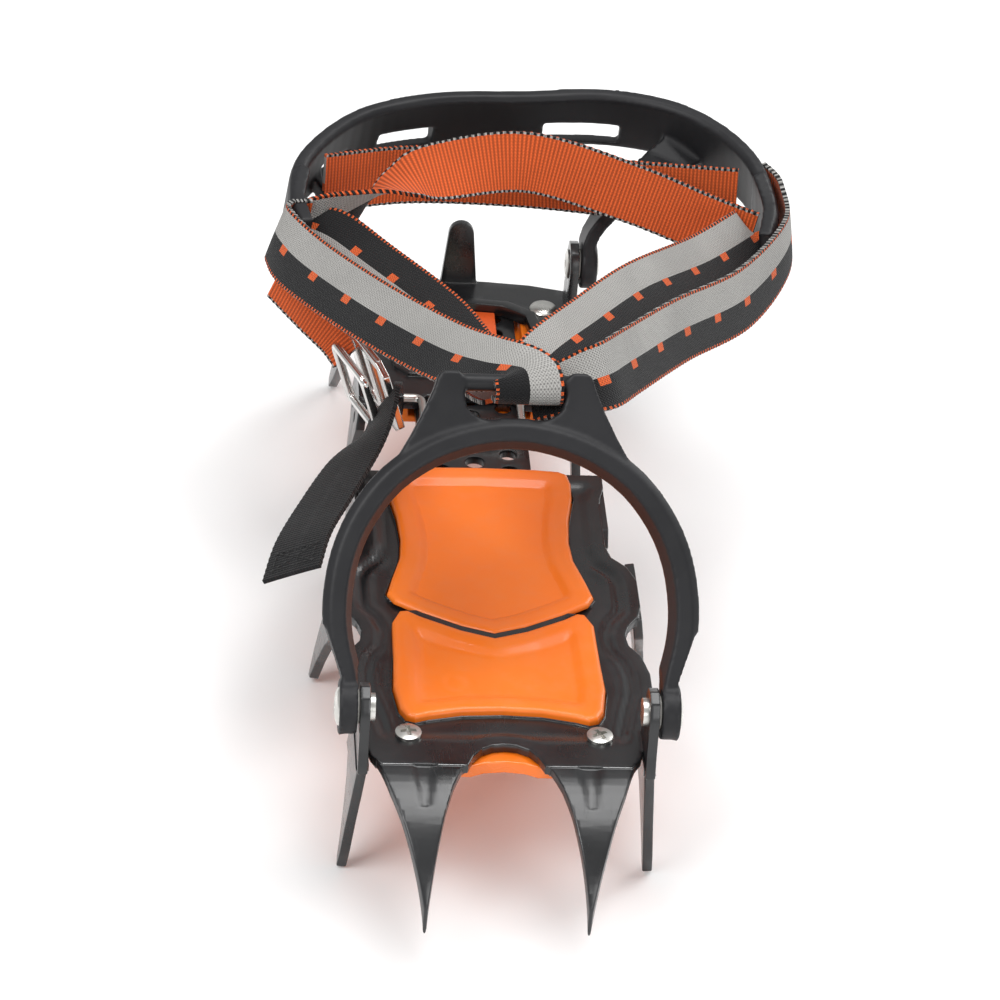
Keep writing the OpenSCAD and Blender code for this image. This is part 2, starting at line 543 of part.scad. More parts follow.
// ---- buckle --------------------------------------------------------------
buckle_at = [-34, 112, 20];
module buckle_place() {
    translate(buckle_at) rotate([0, 0, 22]) rotate([0, 72, 0]) children();
}
module buckle_frame() {
    color(bright) buckle_place() difference() {
        linear_extrude(2.4) polygon([[-15, -10], [-11, -14.5], [11, -14.5], [15, -10], [15, 10], [11, 14.5],
            [-11, 14.5], [-15, 10]]);
        translate([0, 0, -1]) linear_extrude(5) polygon([[-11.5, -9.5], [11.5, -9.5], [11.5, -2], [-11.5, -2]]);
        translate([0, 0, -1]) linear_extrude(5) polygon([[-11.5, 2], [11.5, 2], [11.5, 9.5], [-11.5, 9.5]]);
    }
}
module buckle_ring() {
    color(bright) buckle_place() translate([0, 0, -5.5]) {
        for (s = [-1, 1]) {
            translate([s * 11.5, -9, 0]) rotate([-90, 0, 0]) cylinder(r = 1.4, h = 18, $fn = 24);
            translate([-9, s * 11.5, 0]) rotate([0, 90, 0]) cylinder(r = 1.4, h = 18, $fn = 24);
        }
        for (a = [0:90:270]) rotate(a) translate([9, 9, 0]) rotate_extrude(angle = 90)
            translate([2.5, 0]) circle(r = 1.4, $fn = 24);
    }
}

front_plate();
front_antiball_plate();
toe_pad();
ball_pad();
bar_cover();
front_screws();
screw_inserts();
toe_rivets();
toe_washers();
toe_harness();
adjust_bar();
heel_plate();
heel_antiball_plate();
lock_plate();
heel_plate_rivets();
heel_eyelets();
heel_washers();
lock_wire();
heel_harness();
strap_left_outer();
strap_left_inner();
strap_right_inner();
strap_right_outer();
strap_ankle_front();
strap_ankle_rear();
strap_buckle_lead();
strap_tail();
buckle_frame();
buckle_ring();
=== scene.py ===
"""Looks for one strap-on crampon, laid out as an add-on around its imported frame."""

import math

import bmesh
import bpy
import numpy as np
from mathutils import Matrix, Vector
from mathutils.bvhtree import BVHTree


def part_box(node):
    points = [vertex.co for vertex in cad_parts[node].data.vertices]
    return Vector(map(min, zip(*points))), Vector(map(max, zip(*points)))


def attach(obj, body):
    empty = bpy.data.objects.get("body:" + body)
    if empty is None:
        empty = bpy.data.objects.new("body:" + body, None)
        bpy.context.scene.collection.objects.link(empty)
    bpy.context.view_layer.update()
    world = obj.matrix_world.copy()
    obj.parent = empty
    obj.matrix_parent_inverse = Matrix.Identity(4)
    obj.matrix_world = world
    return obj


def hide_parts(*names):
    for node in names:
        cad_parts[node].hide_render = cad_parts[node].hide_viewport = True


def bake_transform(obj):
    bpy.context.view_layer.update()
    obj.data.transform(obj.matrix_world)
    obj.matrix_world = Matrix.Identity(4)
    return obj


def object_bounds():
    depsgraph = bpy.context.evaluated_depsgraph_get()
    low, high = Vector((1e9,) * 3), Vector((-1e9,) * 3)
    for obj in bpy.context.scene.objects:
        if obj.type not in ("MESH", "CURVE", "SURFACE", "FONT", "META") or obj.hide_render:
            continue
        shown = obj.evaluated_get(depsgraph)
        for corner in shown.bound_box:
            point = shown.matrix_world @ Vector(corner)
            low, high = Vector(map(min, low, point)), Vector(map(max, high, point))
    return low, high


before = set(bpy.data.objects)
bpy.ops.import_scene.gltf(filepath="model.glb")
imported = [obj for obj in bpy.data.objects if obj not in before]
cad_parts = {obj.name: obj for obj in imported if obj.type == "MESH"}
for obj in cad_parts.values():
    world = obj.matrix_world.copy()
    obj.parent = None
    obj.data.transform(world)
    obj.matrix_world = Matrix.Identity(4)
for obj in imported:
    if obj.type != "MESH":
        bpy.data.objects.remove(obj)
CAD_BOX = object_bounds()

bl_info = {
    "name": "Strap-on crampon",
    "version": (1, 0, 0),
    "blender": (4, 5, 0),
    "location": "3D View > Sidebar > Crampon",
    "description": "Builds the finished surfaces of a strap-on crampon around its packed frame",
    "category": "Object",
}

MM = 0.001


# ---- small helpers ---------------------------------------------------------
def smoothstep(value):
    """0 below 0, 1 above 1, smooth between; works on numbers and arrays."""
    t = np.clip(value, 0, 1)
    return t * t * (3 - 2 * t)


def both(half):
    """An outline drawn for +X only, closed by its mirror image."""
    return np.array(half + [(-x, y) for x, y in reversed(half) if x > 0.01], float)


def distance_to(points, outline):
    """Distance of each point from the nearest side of a closed outline."""
    best = np.full(len(points), 1e9)
    for a, b in zip(outline, np.roll(outline, -1, axis=0)):
        d = b - a
        t = np.clip((points - a) @ d / max(d @ d, 1e-12), 0, 1)
        best = np.minimum(best, np.linalg.norm(points - a - t[:, None] * d, axis=1))
    return best


def coordinates(mesh):
    """The vertices of a mesh as an array, in millimetres."""
    co = np.empty(len(mesh.vertices) * 3, np.float32)
    mesh.vertices.foreach_get("co", co)
    return co.reshape(-1, 3).astype(float) / MM


def set_coordinates(mesh, points):
    """Writes back an array of vertices in millimetres."""
    mesh.vertices.foreach_set("co", (points * MM).astype(np.float32).ravel())
    mesh.update()


def normals(mesh):
    """The vertex normals of a mesh as an array."""
    out = np.empty(len(mesh.vertices) * 3, np.float32)
    mesh.vertex_normals.foreach_get("vector", out)
    return out.reshape(-1, 3).astype(float)


def edge_ends(mesh):
    """The two vertex numbers of each edge."""
    ends = np.empty(len(mesh.edges) * 2, np.int32)
    mesh.edges.foreach_get("vertices", ends)
    return ends.reshape(-1, 2)


def relax(mesh, rounds, pull=0.5, push=-0.52):
    """Evens out a mesh without shrinking it, by pulling each vertex to its neighbours and back."""
    points, ends = coordinates(mesh), edge_ends(mesh)
    count = np.bincount(ends.ravel(), minlength=len(points))[:, None]
    for step in range(rounds * 2):
        total = np.zeros_like(points)
        for axis in range(3):
            total[:, axis] = np.bincount(
                ends[:, 0], points[ends[:, 1], axis], len(points)
            ) + np.bincount(ends[:, 1], points[ends[:, 0], axis], len(points))
        points += (total / np.maximum(count, 1) - points) * (push if step % 2 else pull)
    set_coordinates(mesh, points)


def mark_edges(mesh, gain=1.0):
    """Stores how far each vertex stands out of its surroundings, for worn paint."""
    points, ends, out = coordinates(mesh), edge_ends(mesh), normals(mesh)
    a, b = ends[:, 0], ends[:, 1]
    along = points[b] - points[a]
    along /= np.maximum(np.linalg.norm(along, axis=1), 1e-9)[:, None]
    bend = np.bincount(a, -(along * out[a]).sum(1), len(points)) + np.bincount(
        b, (along * out[b]).sum(1), len(points)
    )
    count = np.maximum(np.bincount(ends.ravel(), minlength=len(points)), 1)
    layer = mesh.attributes.new("worn", "FLOAT", "POINT")
    layer.data.foreach_set("value", np.clip(bend / count * gain, 0, 1).astype(np.float32))


def put(name, mesh, material, body, smooth=None):
    """Makes a finished piece: its mesh, finish, shading, CAD body and material slot."""
    piece = bpy.data.objects.new(name, mesh)
    bpy.context.scene.collection.objects.link(piece)
    if material is not None:
        mesh.materials.clear()
        mesh.materials.append(material)
    if smooth is None:
        mesh.shade_smooth()
    else:
        mesh.shade_smooth()
        mesh.set_sharp_from_angle(angle=math.radians(smooth))
    if body:
        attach(piece, body)
    return piece


def cad_copy(node):
    """The CAD node's mesh as an editable one, merged and with its flat faces joined up."""
    work = bmesh.new()
    work.from_mesh(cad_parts[node].data)
    bmesh.ops.remove_doubles(work, verts=work.verts, dist=2e-6)
    bmesh.ops.dissolve_limit(
        work, angle_limit=math.radians(0.6), verts=work.verts, edges=work.edges, delimit=set()
    )
    return work


def soften(work, width, angle=35, segments=2):
    """Rounds the sharp edges by a width in millimetres, with no corner left off the surface."""
    before = BVHTree.FromBMesh(work)
    sharp = [
        e for e in work.edges
        if e.is_manifold and abs(e.calc_face_angle(0)) > math.radians(angle)
    ]
    bmesh.ops.bevel(
        work, geom=sharp, offset=width * MM, offset_type="OFFSET", segments=segments,
        profile=0.6, affect="EDGES", clamp_overlap=False,
    )
    for v in work.verts:
        spot, _, _, gap = before.find_nearest(v.co)
        if gap > 1.2 * width * MM:
            v.co = spot


def slice_up(work, step, low, high, axes=(0, 1)):
    """Cuts a mesh into strips a step apart, so that its faces can take a relief."""
    for axis in axes:
        normal = [0, 0, 0]
        normal[axis] = 1
        for at in np.arange(low[axis] + step / 2, high[axis], step):
            place = [0, 0, 0]
            place[axis] = at * MM
            bmesh.ops.bisect_plane(
                work, geom=work.verts[:] + work.edges[:] + work.faces[:], dist=1e-6,
                plane_co=place, plane_no=normal,
            )


def to_mesh(name, work):
    """Ends the editing of a mesh."""
    bmesh.ops.remove_doubles(work, verts=work.verts, dist=1e-6)
    bmesh.ops.triangulate(work, faces=[f for f in work.faces if len(f.verts) > 4])
    mesh = bpy.data.meshes.new(name)
    work.to_mesh(mesh)
    work.free()
    return mesh


def turned(name, profile, steps=32):
    """A round piece about +Z from a profile of (radius, height) in millimetres, closed at both ends."""
    work = bmesh.new()
    rings = []
    for radius, height in profile:
        if radius < 1e-6:
            rings.append([work.verts.new((0, 0, height * MM))])
            continue
        rings.append([
            work.verts.new((
                radius * MM * math.cos(2 * math.pi * k / steps),
                radius * MM * math.sin(2 * math.pi * k / steps), height * MM,
            ))
            for k in range(steps)
        ])
    for low, high in zip(rings, rings[1:]):
        for k in range(steps):
            n = (k + 1) % steps
            if len(low) == 1:
                work.faces.new((low[0], high[n], high[k]))
            elif len(high) == 1:
                work.faces.new((low[k], low[n], high[0]))
            else:
                work.faces.new((low[k], low[n], high[n], high[k]))
    bmesh.ops.recalc_face_normals(work, faces=work.faces)
    return to_mesh(name, work)


# ---- node tools ------------------------------------------------------------
def node(tree, kind, inputs=(), **settings):
    """Adds a node; inputs maps a socket's name or number to a value or to another node's output."""
    made = tree.nodes.new(kind)
    for key, value in settings.items():
        setattr(made, key, value)
    for key, value in dict(inputs).items():
        socket = made.inputs[key]
        if isinstance(value, bpy.types.NodeSocket):
            tree.links.new(value, socket)
        else:
            socket.default_value = value
    return made


def calc(tree, operation, a, b=0.0, c=None, clamp=False, kind="ShaderNodeMath"):
    """The output of one sum."""
    inputs = {0: a, 1: b}
    if c is not None:
        inputs[2] = c
    return node(tree, kind, inputs, operation=operation, use_clamp=clamp).outputs[0]


def blend_colour(tree, factor, a, b, mode="MIX"):
    """The output of one colour mix."""
    made = node(tree, "ShaderNodeMix", data_type="RGBA", blend_type=mode)
    for name, value in (("Factor_Float", factor), ("A_Color", a), ("B_Color", b)):
        socket = next(s for s in made.inputs if s.identifier == name)
        if isinstance(value, bpy.types.NodeSocket):
            tree.links.new(value, socket)
        else:
            socket.default_value = value
    return next(s for s in made.outputs if s.identifier == "Result_Color")


def ramp(tree, value, low, high, out_low=0.0, out_high=1.0):
    """Maps a value from one range to another, clamped."""
    return node(tree, "ShaderNodeMapRange", {
        "Value": value, "From Min": low, "From Max": high, "To Min": out_low, "To Max": out_high,
    }).outputs[0]


def new_group(name, kind, inputs, outputs):
    """An empty node group with named inputs and outputs, and its input and output nodes."""
    tree = bpy.data.node_groups.new(name, kind)
    for label, socket, default in inputs:
        made = tree.interface.new_socket(name=label, in_out="INPUT", socket_type=socket)
        if default is not None:
            made.default_value = default
    for label, socket in outputs:
        tree.interface.new_socket(name=label, in_out="OUTPUT", socket_type=socket)
    return tree, tree.nodes.new("NodeGroupInput").outputs, tree.nodes.new("NodeGroupOutput").inputs


FLOAT, VECTOR, SHAPE = "NodeSocketFloat", "NodeSocketVector", "NodeSocketGeometry"


def grain_group():
    """Fine uneven surface: small moulding or paint texture and slow changes of gloss."""
    tree, given, result = new_group(
        "Fine grain", "ShaderNodeTree",
        [("Vector", VECTOR, None), ("Grain per metre", FLOAT, 900.0), ("Patch per metre", FLOAT, 40.0)],
        [("Height", FLOAT), ("Patches", FLOAT)],
    )
    fine = node(tree, "ShaderNodeTexNoise", {
        "Vector": given["Vector"], "Scale": given["Grain per metre"], "Detail": 2.0})
    slow = node(tree, "ShaderNodeTexNoise", {
        "Vector": given["Vector"], "Scale": given["Patch per metre"], "Detail": 3.0})
    tree.links.new(fine.outputs[0], result["Height"])
    tree.links.new(ramp(tree, slow.outputs[0], 0.3, 0.7), result["Patches"])
    return tree


def wear_group():
    """Where an edge has lost its finish: a mask from the worn attribute, broken up by noise."""
    tree, given, result = new_group(
        "Edge wear", "ShaderNodeTree",
        [("Vector", VECTOR, None), ("Worn", FLOAT, 0.0), ("Amount", FLOAT, 0.5),
         ("Break-up per metre", FLOAT, 260.0)],
        [("Mask", FLOAT)],
    )
    noise = node(tree, "ShaderNodeTexNoise", {
        "Vector": given["Vector"], "Scale": given["Break-up per metre"], "Detail": 5.0, "Roughness": 0.7})
    lifted = calc(tree, "ADD", given["Worn"], calc(tree, "MULTIPLY", noise.outputs[0], 0.55))
    level = calc(tree, "SUBTRACT", 1.15, calc(tree, "MULTIPLY", given["Amount"], 0.6))
    mask = ramp(tree, calc(tree, "SUBTRACT", lifted, level), 0.0, 0.12)
    tree.links.new(mask, result["Mask"])
    return tree


def dust_group():
    """Thin dust that settles on faces that look up."""
    tree, given, result = new_group(
        "Dust", "ShaderNodeTree",
        [("Vector", VECTOR, None), ("Normal", VECTOR, None), ("Amount", FLOAT, 0.2)],
        [("Mask", FLOAT)],
    )
    upward = node(tree, "ShaderNodeSeparateXYZ", {0: given["Normal"]}).outputs[2]
    noise = node(tree, "ShaderNodeTexNoise", {
        "Vector": given["Vector"], "Scale": 120.0, "Detail": 6.0, "Roughness": 0.65})
    mask = calc(tree, "MULTIPLY", ramp(tree, upward, 0.2, 1.0), ramp(tree, noise.outputs[0], 0.45, 0.75))
    tree.links.new(calc(tree, "MULTIPLY", mask, given["Amount"]), result["Mask"])
    return tree


def weave_group():
    """Woven threads: crosswise ribs with a finer twill over them, from (along, across) in metres."""
    tree, given, result = new_group(
        "Webbing weave", "ShaderNodeTree",
        [("Along", FLOAT, 0.0), ("Across", FLOAT, 0.0), ("Rib pitch", FLOAT, 0.0011),
         ("Thread pitch", FLOAT, 0.0008), ("Twill", FLOAT, 0.5)],
        [("Height", FLOAT), ("Thread shade", FLOAT)],
    )

    def wave(value, pitch):
        turns = calc(tree, "MULTIPLY", calc(tree, "DIVIDE", value, pitch), 2 * math.pi)
        return calc(tree, "MULTIPLY_ADD", calc(tree, "SINE", turns), 0.5, 0.5)

    ribs = wave(given["Along"], given["Rib pitch"])
    slant = wave(calc(tree, "ADD", given["Along"], given["Across"]), given["Thread pitch"])
    cross = wave(calc(tree, "SUBTRACT", given["Along"], given["Across"]), given["Thread pitch"])
    twill = calc(tree, "MAXIMUM", slant, cross)
    threads = wave(given["Across"], given["Thread pitch"])
    plain = calc(tree, "MULTIPLY", ribs, calc(tree, "MULTIPLY_ADD", threads, 0.3, 0.7))
    height = node(tree, "ShaderNodeMix", {0: given["Twill"], 2: plain, 3: twill},
        data_type="FLOAT").outputs[0]
    tree.links.new(height, result["Height"])
    tree.links.new(ramp(tree, height, 0.0, 1.0, 0.32, 1.0), result["Thread shade"])
    return tree


class Finish:
    """A material under construction, with its Principled shader and its place on the piece."""

    groups = {}

    def __init__(self, name, roughness=0.5, metallic=0.0, coat=0.0, coat_roughness=0.05, specular=0.5):
        self.material = bpy.data.materials.new(name)
        self.material.use_nodes = True
        self.tree = self.material.node_tree
        self.tree.nodes.clear()
        self.shader = node(self.tree, "ShaderNodeBsdfPrincipled", {
            "Roughness": roughness, "Metallic": metallic, "Coat Weight": coat,
            "Coat Roughness": coat_roughness, "Specular IOR Level": specular})
        end = node(self.tree, "ShaderNodeOutputMaterial")
        self.tree.links.new(self.shader.outputs[0], end.inputs[0])
        self.place = node(self.tree, "ShaderNodeTexCoord").outputs["Object"]
        self.normal = node(self.tree, "ShaderNodeNewGeometry").outputs["Normal"]

    def group(self, name, inputs):
        """One of the shared effects, with this finish's own values."""
        made = node(self.tree, "ShaderNodeGroup", node_tree=Finish.groups[name])
        for key, value in inputs.items():
            if isinstance(value, bpy.types.NodeSocket):
                self.tree.links.new(value, made.inputs[key])
            else:
                made.inputs[key].default_value = value
        return made.outputs

    def attribute(self, name):
        return node(self.tree, "ShaderNodeAttribute", attribute_name=name)

    def set(self, **sockets):
        for key, value in sockets.items():
            self.tree.links.new(value, self.shader.inputs[key.replace("_", " ")])

    def bump(self, height, strength, distance):
        made = node(self.tree, "ShaderNodeBump", {
            "Height": height, "Strength": strength, "Distance": distance})
        self.tree.links.new(made.outputs[0], self.shader.inputs["Normal"])


def rgb(colour):
    return (colour[0], colour[1], colour[2], 1.0)


def painted_steel(name, colour, amount):
    """Glossy black enamel on pressed steel, rubbed to bare metal at the edges and the tips."""
    f = Finish(name, roughness=0.3, coat=0.35, coat_roughness=0.18)
    grain = f.group("Fine grain", {"Vector": f.place, "Grain per metre": 1400.0, "Patch per metre": 35.0})
    worn = f.group("Edge wear", {
        "Vector": f.place, "Worn": f.attribute("worn").outputs["Fac"], "Amount": amount})
    dust = f.group("Dust", {"Vector": f.place, "Normal": f.normal, "Amount": 0.03})
    dark = tuple(c * 0.6 for c in colour)
    base = blend_colour(f.tree, grain["Patches"], rgb(dark), rgb(colour))
    base = blend_colour(f.tree, dust["Mask"], base, rgb((0.22, 0.21, 0.19)))
    base = blend_colour(f.tree, worn["Mask"], base, rgb((0.42, 0.42, 0.42)))
    gloss = ramp(f.tree, grain["Patches"], 0.0, 1.0, 0.24, 0.36)
    scratches = node(f.tree, "ShaderNodeTexNoise", {
        "Vector": node(f.tree, "ShaderNodeMapping", {
            "Vector": f.place, "Scale": (3.0, 0.25, 1.0), "Rotation": (0.0, 0.0, 0.5)}).outputs[0],
        "Scale": 700.0, "Detail": 2.0}).outputs[0]
    gloss = calc(f.tree, "ADD", gloss, ramp(f.tree, scratches, 0.62, 0.72, 0.0, 0.14))
    f.set(Base_Color=base, Roughness=gloss, Metallic=worn["Mask"])
    f.bump(grain["Height"], 0.12, 0.00005)
    return f.material


def moulded_orange(name, colour, roughness):
    """Glossy orange plastic with a soft flow pattern and rubbed, paler edges."""
    f = Finish(name, roughness=roughness, coat=0.25, coat_roughness=0.12)
    grain = f.group("Fine grain", {"Vector": f.place, "Grain per metre": 700.0, "Patch per metre": 28.0})
    worn = f.group("Edge wear", {
        "Vector": f.place, "Worn": f.attribute("worn").outputs["Fac"], "Amount": 0.25})
    dust = f.group("Dust", {"Vector": f.place, "Normal": f.normal, "Amount": 0.06})
    deep = (colour[0] * 0.96, colour[1] * 0.86, colour[2] * 0.8)
    base = blend_colour(f.tree, grain["Patches"], rgb(deep), rgb(colour))
    base = blend_colour(f.tree, worn["Mask"], base, rgb((1.0, 0.42, 0.16)))
    base = blend_colour(f.tree, dust["Mask"], base, rgb((0.5, 0.4, 0.32)))
    f.set(Base_Color=base, Roughness=ramp(f.tree, grain["Patches"], 0.0, 1.0, roughness - 0.05,
        roughness + 0.08))
    f.bump(grain["Height"], 0.1, 0.00006)
    return f.material


def moulded_black(name, colour):
    """Satin black elastomer of the harness, with a fine spark-eroded grain."""
    f = Finish(name, roughness=0.45, specular=0.3)
    grain = f.group("Fine grain", {"Vector": f.place, "Grain per metre": 2600.0, "Patch per metre": 30.0})
    worn = f.group("Edge wear", {
        "Vector": f.place, "Worn": f.attribute("worn").outputs["Fac"], "Amount": 0.3})
    dust = f.group("Dust", {"Vector": f.place, "Normal": f.normal, "Amount": 0.03})
    light = tuple(c * 1.35 for c in colour)
    base = blend_colour(f.tree, grain["Patches"], rgb(colour), rgb(light))
    base = blend_colour(f.tree, worn["Mask"], base, rgb((0.1, 0.1, 0.1)))
    base = blend_colour(f.tree, dust["Mask"], base, rgb((0.16, 0.155, 0.15)))
    f.set(Base_Color=base, Roughness=ramp(f.tree, grain["Patches"], 0.0, 1.0, 0.4, 0.52))
    f.bump(grain["Height"], 0.25, 0.00008)
    return f.material


def bare_metal(name, colour, roughness, brushed=0.15):
    """Zinc, nickel or brass with fine turning marks and slightly dull patches."""
    f = Finish(name, roughness=roughness, metallic=1.0)
    grain = f.group("Fine grain", {"Vector": f.place, "Grain per metre": 2200.0, "Patch per metre": 160.0})
    dull = tuple(c * 0.72 for c in colour)
    base = blend_colour(f.tree, grain["Patches"], rgb(dull), rgb(colour))
    f.set(Base_Color=base, Roughness=ramp(f.tree, grain["Patches"], 0.0, 1.0, roughness + 0.14, roughness))
    f.bump(grain["Height"], brushed, 0.00005)
    return f.material


def lock_plate_finish(name, cream, painted_shade_red):
    """The size plate under the heel: cream on one side and painted shade on the other, a darker orange that
    stands for orange plastic in shadow, with no marks.
    """
    f = Finish(name, roughness=0.42)
    grain = f.group("Fine grain", {"Vector": f.place, "Grain per metre": 900.0, "Patch per metre": 120.0})
    x = node(f.tree, "ShaderNodeSeparateXYZ", {0: f.place}).outputs[0]
    # The side past x = 5 mm takes the painted shade colour, a darker orange for orange plastic in shadow.
    side = ramp(f.tree, x, 0.0046, 0.005)
    faded = tuple(c * 0.82 for c in cream)
    base = blend_colour(f.tree, grain["Patches"], rgb(faded), rgb(cream))
    base = blend_colour(f.tree, side, base, rgb(painted_shade_red))
    f.set(Base_Color=base)
    f.bump(grain["Height"], 0.1, 0.00005)
    return f.material


def pale_nylon(name, colour):
    """Milky nylon of the washers."""
    f = Finish(name, roughness=0.5)
    grain = f.group("Fine grain", {"Vector": f.place, "Grain per metre": 1500.0, "Patch per metre": 200.0})
    f.set(Base_Color=blend_colour(f.tree, grain["Patches"], rgb(tuple(c * 0.85 for c in colour)),
        rgb(colour)))
    f.bump(grain["Height"], 0.1, 0.00005)
    return f.material


def dotted(f, value, pitch, share):
    """1 on a share of each pitch along the strap, 0 between."""
    phase = calc(f.tree, "FRACT", calc(f.tree, "DIVIDE", value, pitch))
    return calc(f.tree, "LESS_THAN", phase, share)


def webbing_base(name, twill, rib):
    f = Finish(name, roughness=0.78, specular=0.25)
    parts = node(f.tree, "ShaderNodeSeparateXYZ", {0: f.attribute("weave").outputs["Vector"]}).outputs
    weave = f.group("Webbing weave", {
        "Along": parts[0], "Across": parts[1], "Rib pitch": rib, "Thread pitch": 0.00105, "Twill": twill})
    fuzz = f.group("Fine grain", {"Vector": f.place, "Grain per metre": 3000.0, "Patch per metre": 45.0})
    height = calc(f.tree, "ADD", weave["Height"], calc(f.tree, "MULTIPLY", fuzz["Height"], 0.25))
    f.bump(height, 0.8, 0.0004)
    f.shader.inputs["Sheen Weight"].default_value = 0.08
    f.shader.inputs["Sheen Roughness"].default_value = 0.45
    return f, parts[0], parts[1], weave, fuzz


def threads(f, weave, fuzz, base):
    """Darkens a thread colour between the threads and varies it slowly along the strap."""
    shade = blend_colour(f.tree, 1.0, base, weave["Thread shade"], "MULTIPLY")
    soft = ramp(f.tree, fuzz["Patches"], 0.0, 1.0, 0.88, 1.04)
    return blend_colour(f.tree, 1.0, shade, soft, "MULTIPLY")


def two_tone_webbing(name, half, silver, black, orange):
    """Face of the strap: silver and black halves, orange dashes on the line between, dotted selvages."""
    f, along, across, weave, fuzz = webbing_base(name, 0.75, 0.0011)
    upper = calc(f.tree, "GREATER_THAN", across, 0.0)
    base = blend_colour(f.tree, upper, rgb(black), rgb(silver))
    band = calc(f.tree, "LESS_THAN", calc(f.tree, "ABSOLUTE", calc(f.tree, "ADD", across, 0.0012)), 0.0013)
    dash = calc(f.tree, "MULTIPLY", band, dotted(f, along, 0.024, 0.19))
    base = blend_colour(f.tree, dash, base, rgb(orange))
    edge = calc(f.tree, "GREATER_THAN", calc(f.tree, "ABSOLUTE", across), half - 0.0009)
    marks = blend_colour(f.tree, dotted(f, along, 0.0019, 0.45), rgb(black), rgb(orange))
    base = blend_colour(f.tree, edge, base, marks)
    f.set(Base_Color=threads(f, weave, fuzz, base))
    return f.material


def coral_webbing(name, half, orange, black, silver):
    """Back of the strap: orange with crosswise ribs and black and white selvages."""
    f, along, across, weave, fuzz = webbing_base(name, 0.15, 0.00125)
    edge = calc(f.tree, "GREATER_THAN", calc(f.tree, "ABSOLUTE", across), half - 0.0008)
    marks = blend_colour(f.tree, dotted(f, along, 0.0019, 0.5), rgb(black), rgb(silver))
    base = blend_colour(f.tree, edge, rgb(orange), marks)
    f.set(Base_Color=threads(f, weave, fuzz, base))
    return f.material


def black_webbing(name, black):
    """The free end beyond the buckle, black on both faces."""
    f, _, across, weave, fuzz = webbing_base(name, 0.4, 0.0012)
    ridge = calc(f.tree, "LESS_THAN", calc(f.tree, "ABSOLUTE", across), 0.0012)
    base = blend_colour(f.tree, ridge, rgb(black), rgb(tuple(c * 1.5 for c in black)))
    f.set(Base_Color=threads(f, weave, fuzz, base))
    return f.material


def sewing_thread(name, colour):
    """Bonded polyester sewing thread."""
    f = Finish(name, roughness=0.6, specular=0.3)
    grain = f.group("Fine grain", {"Vector": f.place, "Grain per metre": 5000.0, "Patch per metre": 400.0})
    f.set(Base_Color=blend_colour(f.tree, grain["Patches"], rgb(tuple(c * 0.7 for c in colour)), rgb(colour)))
    f.bump(grain["Height"], 0.3, 0.00005)
    return f.material


# ---- geometry node trees ---------------------------------------------------
def named(tree, name, kind):
    return node(tree, "GeometryNodeInputNamedAttribute", {"Name": name}, data_type=kind).outputs["Attribute"]


